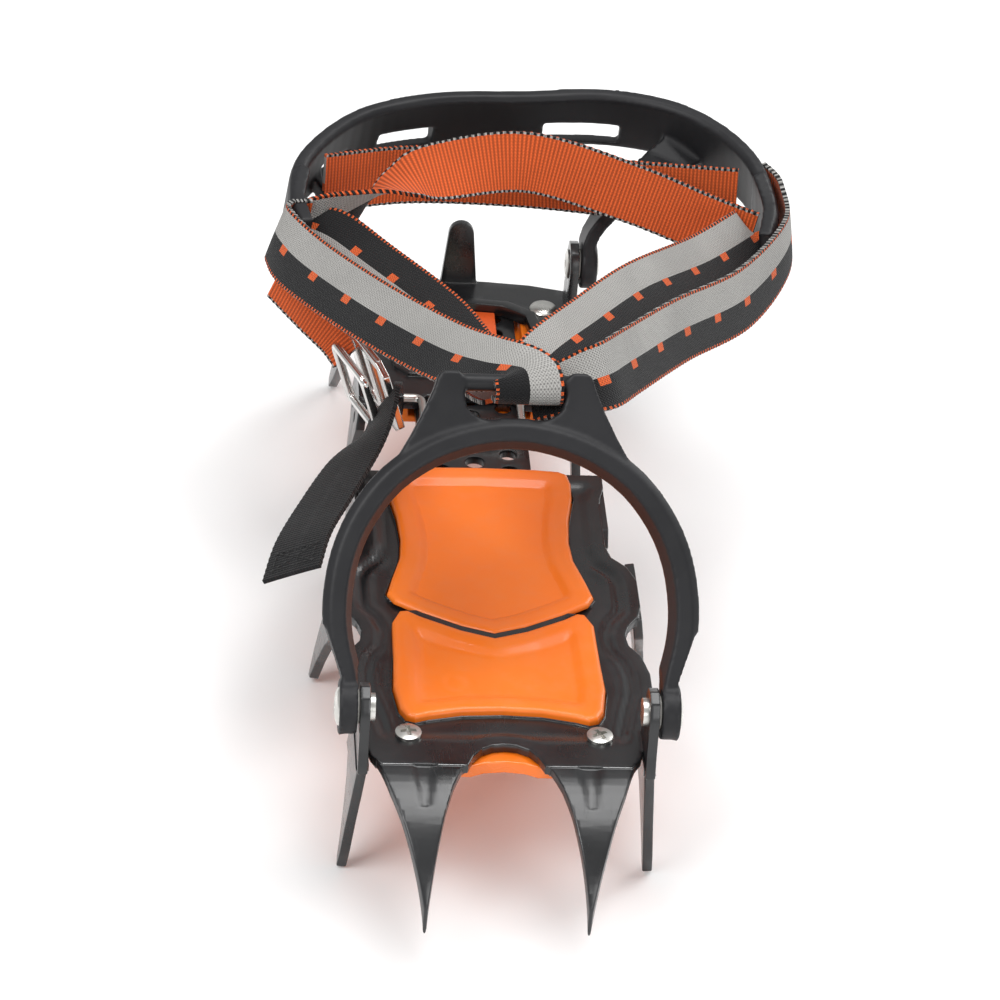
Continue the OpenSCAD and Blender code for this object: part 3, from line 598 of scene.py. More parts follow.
def webbing_tree():
    """A strap of woven webbing laid along a route, with a crown and a scalloped selvage."""
    tree, given, result = new_group(
        "Webbing along a route", "GeometryNodeTree",
        [("Route", SHAPE, None), ("Width", FLOAT, 0.02), ("Thickness", FLOAT, 0.0016),
         ("Crown", FLOAT, 0.00015), ("Columns", "NodeSocketInt", 11), ("Selvage pitch", FLOAT, 0.0026),
         ("Selvage depth", FLOAT, 0.012), ("Upper side", FLOAT, -1.0), ("Face", "NodeSocketMaterial", None),
         ("Back", "NodeSocketMaterial", None)],
        [("Geometry", SHAPE)],
    )
    rows = node(tree, "GeometryNodeAttributeDomainSize", {0: given["Route"]},
        component="MESH").outputs["Point Count"]
    grid = node(tree, "GeometryNodeMeshGrid", {
        "Size X": 1.0, "Size Y": 1.0, "Vertices X": rows, "Vertices Y": given["Columns"]}).outputs["Mesh"]
    index = node(tree, "GeometryNodeInputIndex").outputs[0]
    row = calc(tree, "FLOOR", calc(tree, "DIVIDE", calc(tree, "ADD", index, 0.25), given["Columns"]))
    column = calc(tree, "MODULO", index, given["Columns"])
    share = calc(tree, "SUBTRACT", calc(
        tree, "DIVIDE", column, calc(tree, "SUBTRACT", given["Columns"], 1.0)), 0.5)

    def at_row(field, kind):
        return node(tree, "GeometryNodeSampleIndex", {
            "Geometry": given["Route"], "Value": field, "Index": row}, data_type=kind,
                domain="POINT").outputs[0]

    place = at_row(node(tree, "GeometryNodeInputPosition").outputs[0], "FLOAT_VECTOR")
    side = at_row(named(tree, "side", "FLOAT_VECTOR"), "FLOAT_VECTOR")
    out = at_row(named(tree, "out", "FLOAT_VECTOR"), "FLOAT_VECTOR")
    along = at_row(named(tree, "along", "FLOAT"), "FLOAT")

    def vector(operation, a, b=None, scale=None):
        inputs = {0: a}
        if b is not None:
            inputs[1] = b
        made = node(tree, "ShaderNodeVectorMath", inputs, operation=operation)
        if scale is not None:
            tree.links.new(scale, made.inputs["Scale"])
        return made.outputs[0]

    ripple = calc(tree, "SINE", calc(tree, "MULTIPLY", calc(
        tree, "DIVIDE", along, given["Selvage pitch"]), 2 * math.pi))
    reach = calc(tree, "MULTIPLY_ADD", ripple, given["Selvage depth"], 1.0)
    across = calc(tree, "MULTIPLY", share, given["Width"])
    twice = calc(tree, "MULTIPLY", share, 2.0)
    rise = calc(tree, "MULTIPLY", given["Crown"], calc(
        tree, "SUBTRACT", 1.0, calc(tree, "MULTIPLY", twice, twice)))
    lift = calc(tree, "ADD", rise, calc(tree, "MULTIPLY", given["Thickness"], 0.5))
    spot = vector("ADD", place, vector("SCALE", side, scale=calc(tree, "MULTIPLY", across, reach)))
    spot = vector("ADD", spot, vector("SCALE", out, scale=lift))
    marks = node(tree, "ShaderNodeCombineXYZ", {
        0: along, 1: calc(tree, "MULTIPLY", across, given["Upper side"])}).outputs[0]
    kept = node(tree, "GeometryNodeStoreNamedAttribute", {
        "Geometry": grid, "Name": "weave", "Value": marks}, data_type="FLOAT_VECTOR",
            domain="POINT").outputs[0]
    kept = node(tree, "GeometryNodeStoreNamedAttribute", {
        "Geometry": kept, "Name": "out", "Value": out}, data_type="FLOAT_VECTOR", domain="POINT").outputs[0]
    sheet = node(tree, "GeometryNodeSetPosition", {"Geometry": kept, "Position": spot}).outputs[0]
    down = vector("SCALE", named(tree, "out", "FLOAT_VECTOR"), scale=calc(tree, "MULTIPLY",
        given["Thickness"], -1.0))
    back = node(tree, "GeometryNodeExtrudeMesh", {
        "Mesh": sheet, "Offset": down, "Individual": False}, mode="FACES").outputs["Mesh"]
    back = node(tree, "GeometryNodeSetMaterial", {"Geometry": back, "Material": given["Back"]}).outputs[0]
    face = node(tree, "GeometryNodeFlipFaces", {"Mesh": sheet}).outputs[0]
    face = node(tree, "GeometryNodeSetMaterial", {"Geometry": face, "Material": given["Face"]}).outputs[0]
    joined = node(tree, "GeometryNodeJoinGeometry")
    tree.links.new(back, joined.inputs[0])
    tree.links.new(face, joined.inputs[0])
    welded = node(tree, "GeometryNodeMergeByDistance", {"Geometry": joined.outputs[0],
        "Distance": 2e-6}).outputs[0]
    whole = node(tree, "GeometryNodeRealizeInstances", {"Geometry": welded}).outputs[0]
    tree.links.new(whole, result["Geometry"])
    return tree


def heads_tree():
    """The same fastener set on every point, facing along the point's axis."""
    tree, given, result = new_group(
        "Fasteners on points", "GeometryNodeTree",
        [("Points", SHAPE, None), ("Fastener", "NodeSocketObject", None), ("Scale", FLOAT, 1.0),
         ("Finish", "NodeSocketMaterial", None)],
        [("Geometry", SHAPE)],
    )
    shape = node(tree, "GeometryNodeObjectInfo", {"Object": given["Fastener"]}).outputs["Geometry"]
    turn = node(tree, "FunctionNodeAlignRotationToVector", {
        "Vector": named(tree, "axis", "FLOAT_VECTOR")}, axis="Z").outputs[0]
    spin = node(tree, "FunctionNodeRotateRotation", {0: turn, 1: node(
        tree, "FunctionNodeEulerToRotation", {0: node(
            tree, "ShaderNodeCombineXYZ", {2: named(tree, "spin", "FLOAT")}).outputs[0]}).outputs[0]},
        rotation_space="LOCAL").outputs[0]
    placed = node(tree, "GeometryNodeInstanceOnPoints", {
        "Points": given["Points"], "Instance": shape, "Rotation": spin, "Scale": given["Scale"]}).outputs[0]
    whole = node(tree, "GeometryNodeRealizeInstances", {"Geometry": placed}).outputs[0]
    done = node(tree, "GeometryNodeSetMaterial", {"Geometry": whole, "Material": given["Finish"]}).outputs[0]
    tree.links.new(done, result["Geometry"])
    return tree


def stitches_tree():
    """Rows of sewn stitches along lines: short thread segments, one to a pitch."""
    tree, given, result = new_group(
        "Stitches along lines", "GeometryNodeTree",
        [("Lines", SHAPE, None), ("Pitch", FLOAT, 0.0022), ("Stitch", FLOAT, 0.0016),
         ("Thread", FLOAT, 0.00032), ("Finish", "NodeSocketMaterial", None)],
        [("Geometry", SHAPE)],
    )
    curve = node(tree, "GeometryNodeMeshToCurve", {0: given["Lines"]}).outputs[0]
    points = node(tree, "GeometryNodeCurveToPoints", {
        "Curve": curve, "Length": given["Pitch"]}, mode="LENGTH").outputs
    grain = node(tree, "GeometryNodeMeshUVSphere", {"Segments": 6, "Rings": 5, "Radius": 0.5}).outputs["Mesh"]
    size = node(tree, "ShaderNodeCombineXYZ", {
        0: given["Thread"], 1: given["Thread"], 2: given["Stitch"]}).outputs[0]
    turn = node(tree, "FunctionNodeAlignRotationToVector", {"Vector": points["Tangent"]}, axis="Z").outputs[0]
    placed = node(tree, "GeometryNodeInstanceOnPoints", {
        "Points": points["Points"], "Instance": grain, "Rotation": turn, "Scale": size}).outputs[0]
    whole = node(tree, "GeometryNodeRealizeInstances", {"Geometry": placed}).outputs[0]
    done = node(tree, "GeometryNodeSetMaterial", {"Geometry": whole, "Material": given["Finish"]}).outputs[0]
    tree.links.new(done, result["Geometry"])
    return tree


def wire_tree():
    """Round spring wire along a path of edges."""
    tree, given, result = new_group(
        "Round wire", "GeometryNodeTree",
        [("Path", SHAPE, None), ("Radius", FLOAT, 0.0014), ("Sides", "NodeSocketInt", 16),
         ("Finish", "NodeSocketMaterial", None)],
        [("Geometry", SHAPE)],
    )
    curve = node(tree, "GeometryNodeMeshToCurve", {0: given["Path"]}).outputs[0]
    ring = node(tree, "GeometryNodeCurvePrimitiveCircle", {
        "Resolution": given["Sides"], "Radius": given["Radius"]}).outputs["Curve"]
    tube = node(tree, "GeometryNodeCurveToMesh", {
        "Curve": curve, "Profile Curve": ring, "Fill Caps": True}).outputs[0]
    whole = node(tree, "GeometryNodeRealizeInstances", {"Geometry": tube}).outputs[0]
    done = node(tree, "GeometryNodeSetMaterial", {"Geometry": whole, "Material": given["Finish"]}).outputs[0]
    tree.links.new(done, result["Geometry"])
    return tree


def grown(name, mesh, tree, values):
    """Runs a tree on a mesh and returns what it makes as a plain mesh."""
    carrier = bpy.data.objects.new(name, mesh)
    bpy.context.scene.collection.objects.link(carrier)
    sockets = {
        s.name: s.identifier for s in tree.interface.items_tree
        if s.item_type == "SOCKET" and s.in_out == "INPUT"
    }
    modifier = carrier.modifiers.new("Build", "NODES")
    modifier.node_group = tree
    for key, value in values.items():
        modifier[sockets[key]] = value
    seen = carrier.evaluated_get(bpy.context.evaluated_depsgraph_get())
    made = bpy.data.meshes.new_from_object(seen)
    bpy.data.objects.remove(carrier)
    if len(made.polygons) == 0:
        raise RuntimeError(name + ": the node tree made nothing")
    made.name = name
    return made


def points_mesh(name, rows, edges=(), **layers):
    """Loose points in millimetres with edges and named layers, as the input of a tree."""
    mesh = bpy.data.meshes.new(name)
    mesh.from_pydata([tuple(np.array(p) * MM) for p in rows], list(edges), [])
    for label, values in layers.items():
        values = np.array(values, np.float32)
        kind = "FLOAT_VECTOR" if values.ndim == 2 else "FLOAT"
        layer = mesh.attributes.new(label, kind, "POINT")
        layer.data.foreach_set("vector" if values.ndim == 2 else "value", values.ravel())
    return mesh


# ---- outlines and routes shared with the CAD, in millimetres ----------------
PLATE_HALF = 46.5
HEEL_Y = 131.0
TOE_HINGE = (0.0, -52.0, 14.5)
HEEL_HINGE = (0.0, HEEL_Y + 57.0, 19.0)
SCREWS = [(28.5, -46.0), (-28.5, -46.0)]
BUCKLE_AT = (-34.0, 112.0, 20.0)

PLATE_OUTLINE = both([
    (0, -50), (3.5, -50.5), (7, -52.4), (9.6, -55.8), (11.5, -60.5), (37, -60.5), (40, -56),
    (41.5, -50), (42, -44),
    (44, -34), (PLATE_HALF, -24), (PLATE_HALF, -14), (44.5, -5), (41.2, 0), (40.5, 5), (42, 10),
    (45.5, 15), (PLATE_HALF, 20), (PLATE_HALF, 34), (44, 41), (39.5, 46), (38, 52), (38, 76), (40, 84),
    (40, 91), (0, 91)])
TOE_PAD = both([
    (0, -35.2), (12, -35.9), (22, -38.2), (26, -39.7), (28.6, -38.7), (30.5, -35), (32, -24),
    (31.4, -10), (31, 8), (28.6, 13.6), (26, 14), (22, 11), (10, 4.4), (0, 0.8)])
BALL_PAD = both([
    (0, 2.8), (10, 6.4), (22, 13), (30, 18.6), (32, 22.6), (30.1, 31), (27.2, 42), (26.5, 52),
    (27.3, 64), (29.2, 76), (29.5, 84), (28.6, 89), (26, 90.6), (18, 91.4), (0, 91.9)])

LEFT_OUTER = [
    (-55, 158.5, 49.5, 0.1, 1, 0.05), (-59.5, 157, 50, -0.1, 1, 0.05), (-63.5, 154.5, 51, -0.6, 0.7, 0.15),
    (-64.5, 147, 52, -0.9, -0.1, 0.35), (-57, 125, 55, -0.72, -0.2, 0.66), (-38, 82, 66, -0.7, -0.15, 0.68),
    (-19, 43, 78, -0.62, -0.2, 0.75), (-8, 22, 87.2, -0.42, -0.3, 0.86), (0, 12.5, 92, -0.2, -0.2, 1),
    (3, 7.4, 93.9, -0.05, -0.25, 1), (4, 3, 92.2, 0, -0.85, 0.5), (4.2, 2.5, 88.6, 0, -1, -0.15),
    (4.2, 5.4, 84.8, 0, -0.6, -0.8), (3.6, 10.5, 83.4, 0, -0.1, -1)]
LEFT_INNER = [
    (-56, 156, 50, -0.7, 0.3, 0.5), (-47.5, 148, 51, -0.7, 0.1, 0.6),
    (-37, 128, 54, -0.6, 0.1, 0.75), (-18, 88, 61, -0.5, 0, 0.85),
    (-9, 56, 67, -0.35, 0, 0.9), (-3, 30, 74.5, -0.25, 0.1, 1), (1, 15, 80.5, 0, -0.3, 1)]
RIGHT_INNER = [
    (92, 161.5, 48.5, 0.1, 0.9, 0.3), (89, 157, 50, 0.6, -0.2, 0.6), (72, 130, 57, 0.55, -0.2, 0.7),
    (47, 88, 73, 0.5, -0.1, 0.75), (27, 52, 82.5, 0.4, -0.1, 0.85), (14, 30, 87, 0.3, -0.2, 0.95),
    (8, 19, 87.2, 0.15, -0.1, 1), (5, 12.5, 85.6, 0.1, 0.2, 1)]
RIGHT_OUTER = [
    (97.5, 186, 52.5, 0.95, 0.3, 0.15), (102.4, 175, 52, 0.97, 0, 0.15), (102, 155, 49, 0.95, -0.25, 0.15),
    (84, 118, 52, 0.8, -0.4, 0.3), (58, 76, 66, 0.75, -0.4, 0.4), (38, 38, 79, 0.75, -0.3, 0.45),
    (28.5, 19.5, 85.5, 0.75, -0.25, 0.55), (17, 14, 84.5, 0.3, -0.2, 0.9), (6, 14, 80, 0, -0.2, 1)]
ANKLE_FRONT = [
    (-54, 157.5, 49, -0.5, 0.8, -0.3), (-45, 162.5, 51, -0.45, 0.8, 0.1), (-34, 168, 55, -0.3, 0.6, 0.7),
    (-24, 173, 58, -0.05, 0.05, 1), (-12, 177, 60, 0.1, -0.6, 0.8), (18, 183, 61, 0, -0.9, 0.4),
    (52, 177, 54, -0.2, -0.9, 0.3), (75, 168.5, 49, -0.3, -0.9, 0.22), (91, 161.5, 46.5, -0.35, -0.9, 0.2)]
ANKLE_REAR = [
    (-49, 184, 50, 0.4, -0.9, 0.2), (-20, 198, 46, 0.2, -1, 0.2),
    (16, 201, 44, 0, -1, 0.2), (50, 188, 49, -0.15, -1, 0.2), (88, 181, 51, -0.4, -0.9, 0.2)]
BUCKLE_LEAD = [
    (-63.5, 146, 39, -0.8, -0.5, 0.3), (-53, 134, 34.5, -0.75, -0.55, 0.35),
    (-44.5, 126.5, 30, -0.7, -0.6, 0.4),
    (-40, 121, 25.5, -0.75, -0.5, 0.4)]
TAIL = [
    (-30.5, 101, 19, -0.9, -0.2, 0.3), (-33, 92, 16.8, -0.86, -0.2, 0.42), (-42, 74, 14.5, -0.62, -0.2, 0.75),
    (-51, 52, 14, -0.55, -0.2, 0.8), (-58, 33, 14, -0.55, -0.2, 0.8), (-62, 16, 12.5, -0.55, -0.25, 0.8)]


def route(rows, spacing):
    """Even points on a smooth curve through (x, y, z, face) rows, with side, face and distance along."""
    rows = np.array(rows, float)
    fine = []
    last = len(rows) - 1
    for i in range(last):
        a, b, c, d = rows[max(i - 1, 0)], rows[i], rows[i + 1], rows[min(i + 2, last)]
        for t in np.arange(0, 1, 1 / 24):
            fine.append(0.5 * (2 * b + (c - a) * t + (2 * a - 5 * b + 4 * c - d) * t ** 2
                               + (3 * b - a - 3 * c + d) * t ** 3))
    fine = np.array(fine + [rows[last]])
    run = np.concatenate([[0], np.cumsum(np.linalg.norm(np.diff(fine[:, :3], axis=0), axis=1))])
    at = np.linspace(0, run[-1], max(int(run[-1] / spacing), 4))
    even = np.array([np.interp(at, run, fine[:, k]) for k in range(6)]).T
    place, face = even[:, :3], even[:, 3:]
    tangent = np.gradient(place, axis=0)
    tangent /= np.linalg.norm(tangent, axis=1)[:, None]
    face = face - (face * tangent).sum(1)[:, None] * tangent
    face /= np.linalg.norm(face, axis=1)[:, None]
    return place, np.cross(tangent, face), face, at


# ---- settings --------------------------------------------------------------
def metres(name, text, default, low, high):
    return bpy.props.FloatProperty(
        name=name, description=text, default=default, min=low, max=high, unit="LENGTH", precision=5)


def colour(name, text, default):
    return bpy.props.FloatVectorProperty(
        name=name, description=text, default=default, size=3, min=0.0, max=1.0, subtype="COLOR")


class CramponSizes(bpy.types.PropertyGroup):
    """Sizes of the finished surfaces."""

    webbing_width: metres("Webbing width", "Width of the strap", 0.02, 0.015, 0.025)
    webbing_thickness: metres("Webbing thickness", "Thickness of the strap", 0.0015, 0.001, 0.002)
    steel_edge: metres("Steel edge", "Rounding of the pressed steel's edges", 0.0004, 0.0001, 0.001)
    plastic_edge: metres("Plastic edge", "Rounding of the orange plastic's edges", 0.0006, 0.0002, 0.001)
    plate_step: metres("Plate step", "Depth of the pressed panel in the front plate", 0.0011, 0.0, 0.002)
    pad_dish: metres("Pad dish", "Depth of the panel in each orange pad", 0.0016, 0.0, 0.002)
    harness_voxel: metres("Harness detail", "Size of the smallest detail in the harness", 0.0007,
        0.0005, 0.002)


class CramponColours(bpy.types.PropertyGroup):
    """Colours of the finishes."""

    steel: colour("Steel enamel", "Enamel on the steel", (0.011, 0.0115, 0.013))
    orange: colour("Orange plastic", "Pads, cover and anti-balling plates", (0.93, 0.2, 0.008))
    harness: colour("Harness", "Black elastomer", (0.011, 0.011, 0.0125))
    zinc: colour("Zinc", "Rivets, screws and wires", (0.78, 0.77, 0.73))
    silver_thread: colour("Silver thread", "Upper half of the strap", (0.46, 0.45, 0.43))
    black_thread: colour("Black thread", "Lower half of the strap", (0.008, 0.008, 0.009))
    orange_thread: colour("Orange thread", "Back of the strap and its dashes", (0.82, 0.135, 0.028))


def sizes():
    return bpy.context.scene.crampon_sizes


def colours():
    return bpy.context.scene.crampon_colours


FINISHES = {}
TREES = {}


# ---- shapes ----------------------------------------------------------------
def pressed_plate(points, out):
    """Presses a panel into the front plate inside a line that follows its edge, and dents in the claws."""
    top = (points[:, 2] > -0.6) & (points[:, 2] < 0.6) & (out[:, 2] > 0.2)
    y, x = points[:, 1], np.abs(points[:, 0])
    inner = distance_to(points[:, :2], PLATE_OUTLINE)
    depth = sizes().plate_step / MM
    fade = smoothstep((y + 50) / 7) * smoothstep((88 - y) / 6)
    drop = depth * smoothstep((inner - 4.2) / 1.8) * fade
    rib = 0.5 * depth * np.exp(-((inner - 9.0) / 1.1) ** 2) * fade * smoothstep((x - 30) / 4)
    flat = top & (y > -57) & (x < PLATE_HALF - 0.6)
    points[:, 2] -= np.where(flat, drop - rib, 0)
    down = np.clip((-59.5 - y) / 15, 0, 1)
    half = 3.8 - 1.9 * down
    side = smoothstep((half - np.abs(x - 24.4)) / 1.2)
    ends = smoothstep((-60.0 - y) / 1.2) * smoothstep((y + 76) / 1.4)
    dent = 0.45 * side * ends * ((y < -58) & (out[:, 2] > 0.25))
    points -= out * dent[:, None]


def pad_relief(outline, flange, marks=()):
    """A rim round the pad, a soft slope and a dished panel inside it."""
    def shape(points, out):
        top = out[:, 2] > 0.3
        inner = distance_to(points[:, :2], outline)
        dish = sizes().pad_dish / MM
        drop = dish * smoothstep((inner - flange) / 3.6)
        drop -= 0.35 * np.exp(-((inner - 2.2) / 1.6) ** 2)
        for mx, my in marks:
            r = np.hypot(points[:, 0] - mx, points[:, 1] - my)
            drop += 0.25 * np.exp(-((r - 3.2) / 0.7) ** 2)
        points[:, 2] -= np.where(top, drop, 0)
    return shape


def prism(outline, low, high, edge, step):
    """An upright block with the given outline, rounded and cut into a fine grid."""
    work = bmesh.new()
    floor = work.faces.new([work.verts.new((x * MM, y * MM, low * MM)) for x, y in outline])
    if floor.normal.z > 0 or floor.calc_area() == 0:
        floor.normal_flip()
    moved = bmesh.ops.extrude_face_region(work, geom=[floor])["geom"]
    bmesh.ops.translate(
        work, vec=(0, 0, (high - low) * MM), verts=[g for g in moved if isinstance(g, bmesh.types.BMVert)])
    bmesh.ops.recalc_face_normals(work, faces=work.faces)
    rim = [e for e in work.edges if all(v.co.z > (high - 0.1) * MM for v in e.verts)]
    bmesh.ops.bevel(
        work, geom=rim, offset=edge * MM, offset_type="OFFSET", segments=3, profile=0.5, affect="EDGES",
        clamp_overlap=False)
    slice_up(work, step, outline.min(0), outline.max(0))
    return work


def finish_piece(name, work, shape, material, body, replaced, smooth=32, gain=2.2):
    """Applies a relief, marks the worn edges and puts the piece on its body."""
    mesh = to_mesh(name, work)
    if shape is not None:
        points = coordinates(mesh)
        shape(points, normals(mesh))
        set_coordinates(mesh, points)
    mark_edges(mesh, gain)
    piece = put(name, mesh, material, body, smooth)
    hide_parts(*replaced)
    return piece


def washer_into(work, centre, axis, inner, outer, thick):
    """Adds a flat ring about an axis, in millimetres."""
    turn = Vector(axis).to_track_quat("Z", "Y").to_matrix()
    steps = 40
    rings = []
    for radius, height in ((inner, 0), (outer, 0), (outer, thick * 0.7), (outer - 0.5, thick),
        (inner, thick)):
        rings.append([
            work.verts.new((Vector(centre) + turn @ Vector((
                radius * math.cos(2 * math.pi * k / steps), radius * math.sin(2 * math.pi * k / steps),
                height))) * MM)
            for k in range(steps)])
    for low, high in zip(rings, rings[1:] + rings[:1]):
        for k in range(steps):
            n = (k + 1) % steps
            work.faces.new((low[k], low[n], high[n], high[k]))


def moulded(name, parts, rounds):
    """Melts closed bodies together into one moulding with softened corners."""
    bmesh.ops.recalc_face_normals(parts, faces=parts.faces)
    mesh = bpy.data.meshes.new(name)
    parts.to_mesh(mesh)
    parts.free()
    carrier = bpy.data.objects.new(name, mesh)
    bpy.context.scene.collection.objects.link(carrier)
    remesh = carrier.modifiers.new("Melt", "REMESH")
    remesh.mode = "VOXEL"
    remesh.voxel_size = sizes().harness_voxel
    remesh.adaptivity = 0.0
    made = bpy.data.meshes.new_from_object(carrier.evaluated_get(bpy.context.evaluated_depsgraph_get()))
    bpy.data.objects.remove(carrier)
    if len(made.polygons) < 100:
        raise RuntimeError(name + ": the remesh left nothing")
    relax(made, rounds)
    made.name = name
    return made


# ---- operators -------------------------------------------------------------
class CRAMPON_OT_finishes(bpy.types.Operator):
    """Makes every finish and every node tree that the pieces use"""

    bl_idname = "crampon.finishes"
    bl_label = "Finishes"

    def execute(self, context):
        c, s = colours(), sizes()
        Finish.groups = {
            "Fine grain": grain_group(), "Edge wear": wear_group(), "Dust": dust_group(),
            "Webbing weave": weave_group()}
        half = s.webbing_width / 2
        FINISHES.update({
            "steel": painted_steel("Black enamel", tuple(c.steel), 0.3),
            "bar": painted_steel("Black enamel on the bar", tuple(v * 0.8 for v in c.steel), 0.35),
            "orange": moulded_orange("Orange plastic", tuple(c.orange), 0.3),
            "pads": moulded_orange("Orange pad", tuple(c.orange), 0.42),
            "harness": moulded_black("Black elastomer", tuple(c.harness)),
            "zinc": bare_metal("Zinc", tuple(c.zinc), 0.24),
            "buckle": bare_metal("Nickel", (0.8, 0.79, 0.77), 0.14),
            "brass": bare_metal("Brass", (0.72, 0.5, 0.2), 0.3),
            "nylon": pale_nylon("Milky nylon", (0.75, 0.73, 0.68)),
            # The size plate's second colour is painted shade: a darker orange for orange plastic in shadow.
            "lock": lock_plate_finish("Size plate", (0.72, 0.66, 0.54), (0.85, 0.12, 0.02)),
            "two_tone": two_tone_webbing(
                "Silver and black webbing", half, tuple(c.silver_thread), tuple(c.black_thread),
                tuple(c.orange_thread)),
            "coral": coral_webbing(
                "Orange ribbed webbing", half, tuple(c.orange_thread), tuple(c.black_thread),
                tuple(c.silver_thread)),
            "tail": black_webbing("Black webbing", tuple(c.black_thread)),
            "thread": sewing_thread("Sewing thread", (0.03, 0.03, 0.03)),
        })
        TREES.update({
            "webbing": webbing_tree(), "heads": heads_tree(), "stitches": stitches_tree(),
                "wire": wire_tree()})
        return {"FINISHED"}


class CRAMPON_OT_steel(bpy.types.Operator):
    """Builds the pressed steel: both plates with their points, and the adjusting bar"""

    bl_idname = "crampon.steel"
    bl_label = "Steel"

    def execute(self, context):
        edge = sizes().steel_edge / MM
        for name, cad, body, finish, step, shape in (
            ("front_steel", "front_plate", "front_frame", "steel", 1.25, pressed_plate),
            ("heel_steel", "heel_plate", "heel_frame", "steel", 4.0, None),
            ("bar_steel", "adjust_bar", "bar", "bar", 6.0, None),
        ):
            work = cad_copy(cad)
            soften(work, edge)
            low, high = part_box(cad)
            slice_up(work, step, np.array(low) / MM, np.array(high) / MM)
            finish_piece(name, work, shape, FINISHES[finish], body, [cad])
        return {"FINISHED"}


class CRAMPON_OT_orange(bpy.types.Operator):
    """Builds the orange mouldings: the two pads, the cover and the anti-balling plates"""

    bl_idname = "crampon.orange"
    bl_label = "Orange plastic"

    def execute(self, context):
        edge = sizes().plastic_edge / MM
        for name, cad, outline, flange, low, marks in (
            ("toe_cushion", "toe_pad", TOE_PAD, 5.2, -3.2, ((-12, -20), (12, -20))),
            ("ball_cushion", "ball_pad", BALL_PAD, 5.6, 0.12, ()),
        ):
            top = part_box(cad)[1].z / MM + 0.35
            work = prism(outline, low, top, 1.1, 1.25)
            finish_piece(
                name, work, pad_relief(outline, flange, marks), FINISHES["pads"], "front_frame",
                [cad], smooth=50, gain=1.2)
        for name, cad, body in (
            ("front_antiball", "front_antiball_plate", "front_frame"),
            ("heel_antiball", "heel_antiball_plate", "heel_frame"),
            ("cover", "bar_cover", "front_frame"),
        ):
            work = cad_copy(cad)
            soften(work, edge, segments=3)
            low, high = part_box(cad)
            slice_up(work, 5.0, np.array(low) / MM, np.array(high) / MM)
            finish_piece(name, work, None, FINISHES["orange"], body, [cad])
        return {"FINISHED"}


class CRAMPON_OT_harness(bpy.types.Operator):
    """Moulds the toe ring and the heel cradle"""

    bl_idname = "crampon.harness"
    bl_label = "Harness"

    def execute(self, context):
        toe = cad_copy("toe_harness")
        for side in (-1, 1):
            eye = (side * 49.3, TOE_HINGE[1], TOE_HINGE[2])
            washer_into(toe, eye, (side, 0, 0), 6.2, 8.3, 0.9)
        mesh = moulded("toe_ring", toe, 7)
        mark_edges(mesh, 1.6)
        piece = put("toe_ring", mesh, FINISHES["harness"], "toe_harness")
        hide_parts("toe_harness")
        heel = cad_copy("heel_harness")
        for side in (-1, 1):
            eye = (side * 43.3, HEEL_HINGE[1], HEEL_HINGE[2])
            washer_into(heel, eye, (side, 0, 0), 5.6, 7.9, 0.8)
        mesh = moulded("heel_cradle", heel, 7)
        mark_edges(mesh, 1.6)
        piece = put("heel_cradle", mesh, FINISHES["harness"], "heel_harness")
        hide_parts("heel_harness")
        return {"FINISHED"}


def hidden(name, mesh):
    """An object that only lends its mesh to a tree."""
    lender = bpy.data.objects.new(name, mesh)
    bpy.context.scene.collection.objects.link(lender)
    return lender


def either_side(x, hinge):
    """The two ends of a hinge at a distance x from the middle, right then left."""
    return [(x, hinge[1], hinge[2]), (-x, hinge[1], hinge[2])]


def fasteners(name, shape, spots, axes, finish, body, cad, spins=None):
    """Sets one fastener shape on several spots and makes them one piece."""
    lender = hidden(name + "_shape", shape)
    points = points_mesh(name + "_points", spots, axis=axes, spin=spins or [0.0] * len(spots))
    mesh = grown(name, points, TREES["heads"], {"Fastener": lender, "Scale": 1.0, "Finish": FINISHES[finish]})
    bpy.data.objects.remove(lender)
    piece = put(name, mesh, FINISHES[finish], body, 40)
    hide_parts(*cad)
    return piece


def cross_recess(mesh):
    """Presses a cross-shaped recess into the top of a screw head."""
    points = coordinates(mesh)
    top = points[:, 2] > 0.6
    x, y = np.abs(points[:, 0]), np.abs(points[:, 1])
    cross = (np.minimum(x, y) < 0.5) & (np.maximum(x, y) < 2.2)
    points[:, 2] -= np.where(top & cross, 1.3, 0)
    set_coordinates(mesh, points)
    return mesh


def screw_shape():
    """A countersunk screw with a raised head and a cross recess."""
    head = 3.9
    work = bmesh.new()
    bmesh.ops.create_grid(work, x_segments=36, y_segments=36, size=1)
    for v in work.verts:
        x, y = v.co.x, v.co.y
        u = x * math.sqrt(1 - y * y / 2) * head
        w = y * math.sqrt(1 - x * x / 2) * head
        r = math.hypot(u, w)
        height = 1.5 - 0.6 * (r / head) ** 2
        v.co = Vector((u, w, height)) * MM
    rim = [e for e in work.edges if e.is_boundary]
    skirt = bmesh.ops.extrude_edge_only(work, edges=rim)["geom"]
    for v in [g for g in skirt if isinstance(g, bmesh.types.BMVert)]:
        v.co.z = -0.2 * MM
        v.co.x *= 0.98
        v.co.y *= 0.98
    rim = [e for e in work.edges if e.is_boundary]
    shank = bmesh.ops.extrude_edge_only(work, edges=rim)["geom"]
    for v in [g for g in shank if isinstance(g, bmesh.types.BMVert)]:
        r = math.hypot(v.co.x, v.co.y)
        v.co = Vector((v.co.x / r * 2 * MM, v.co.y / r * 2 * MM, -1.5 * MM))
    rim = [e for e in work.edges if e.is_boundary]
    shank = bmesh.ops.extrude_edge_only(work, edges=rim)["geom"]
    for v in [g for g in shank if isinstance(g, bmesh.types.BMVert)]:
        v.co.z = -12 * MM
    bmesh.ops.holes_fill(work, edges=[e for e in work.edges if e.is_boundary])
    bmesh.ops.recalc_face_normals(work, faces=work.faces)
    return cross_recess(to_mesh("screw", work))


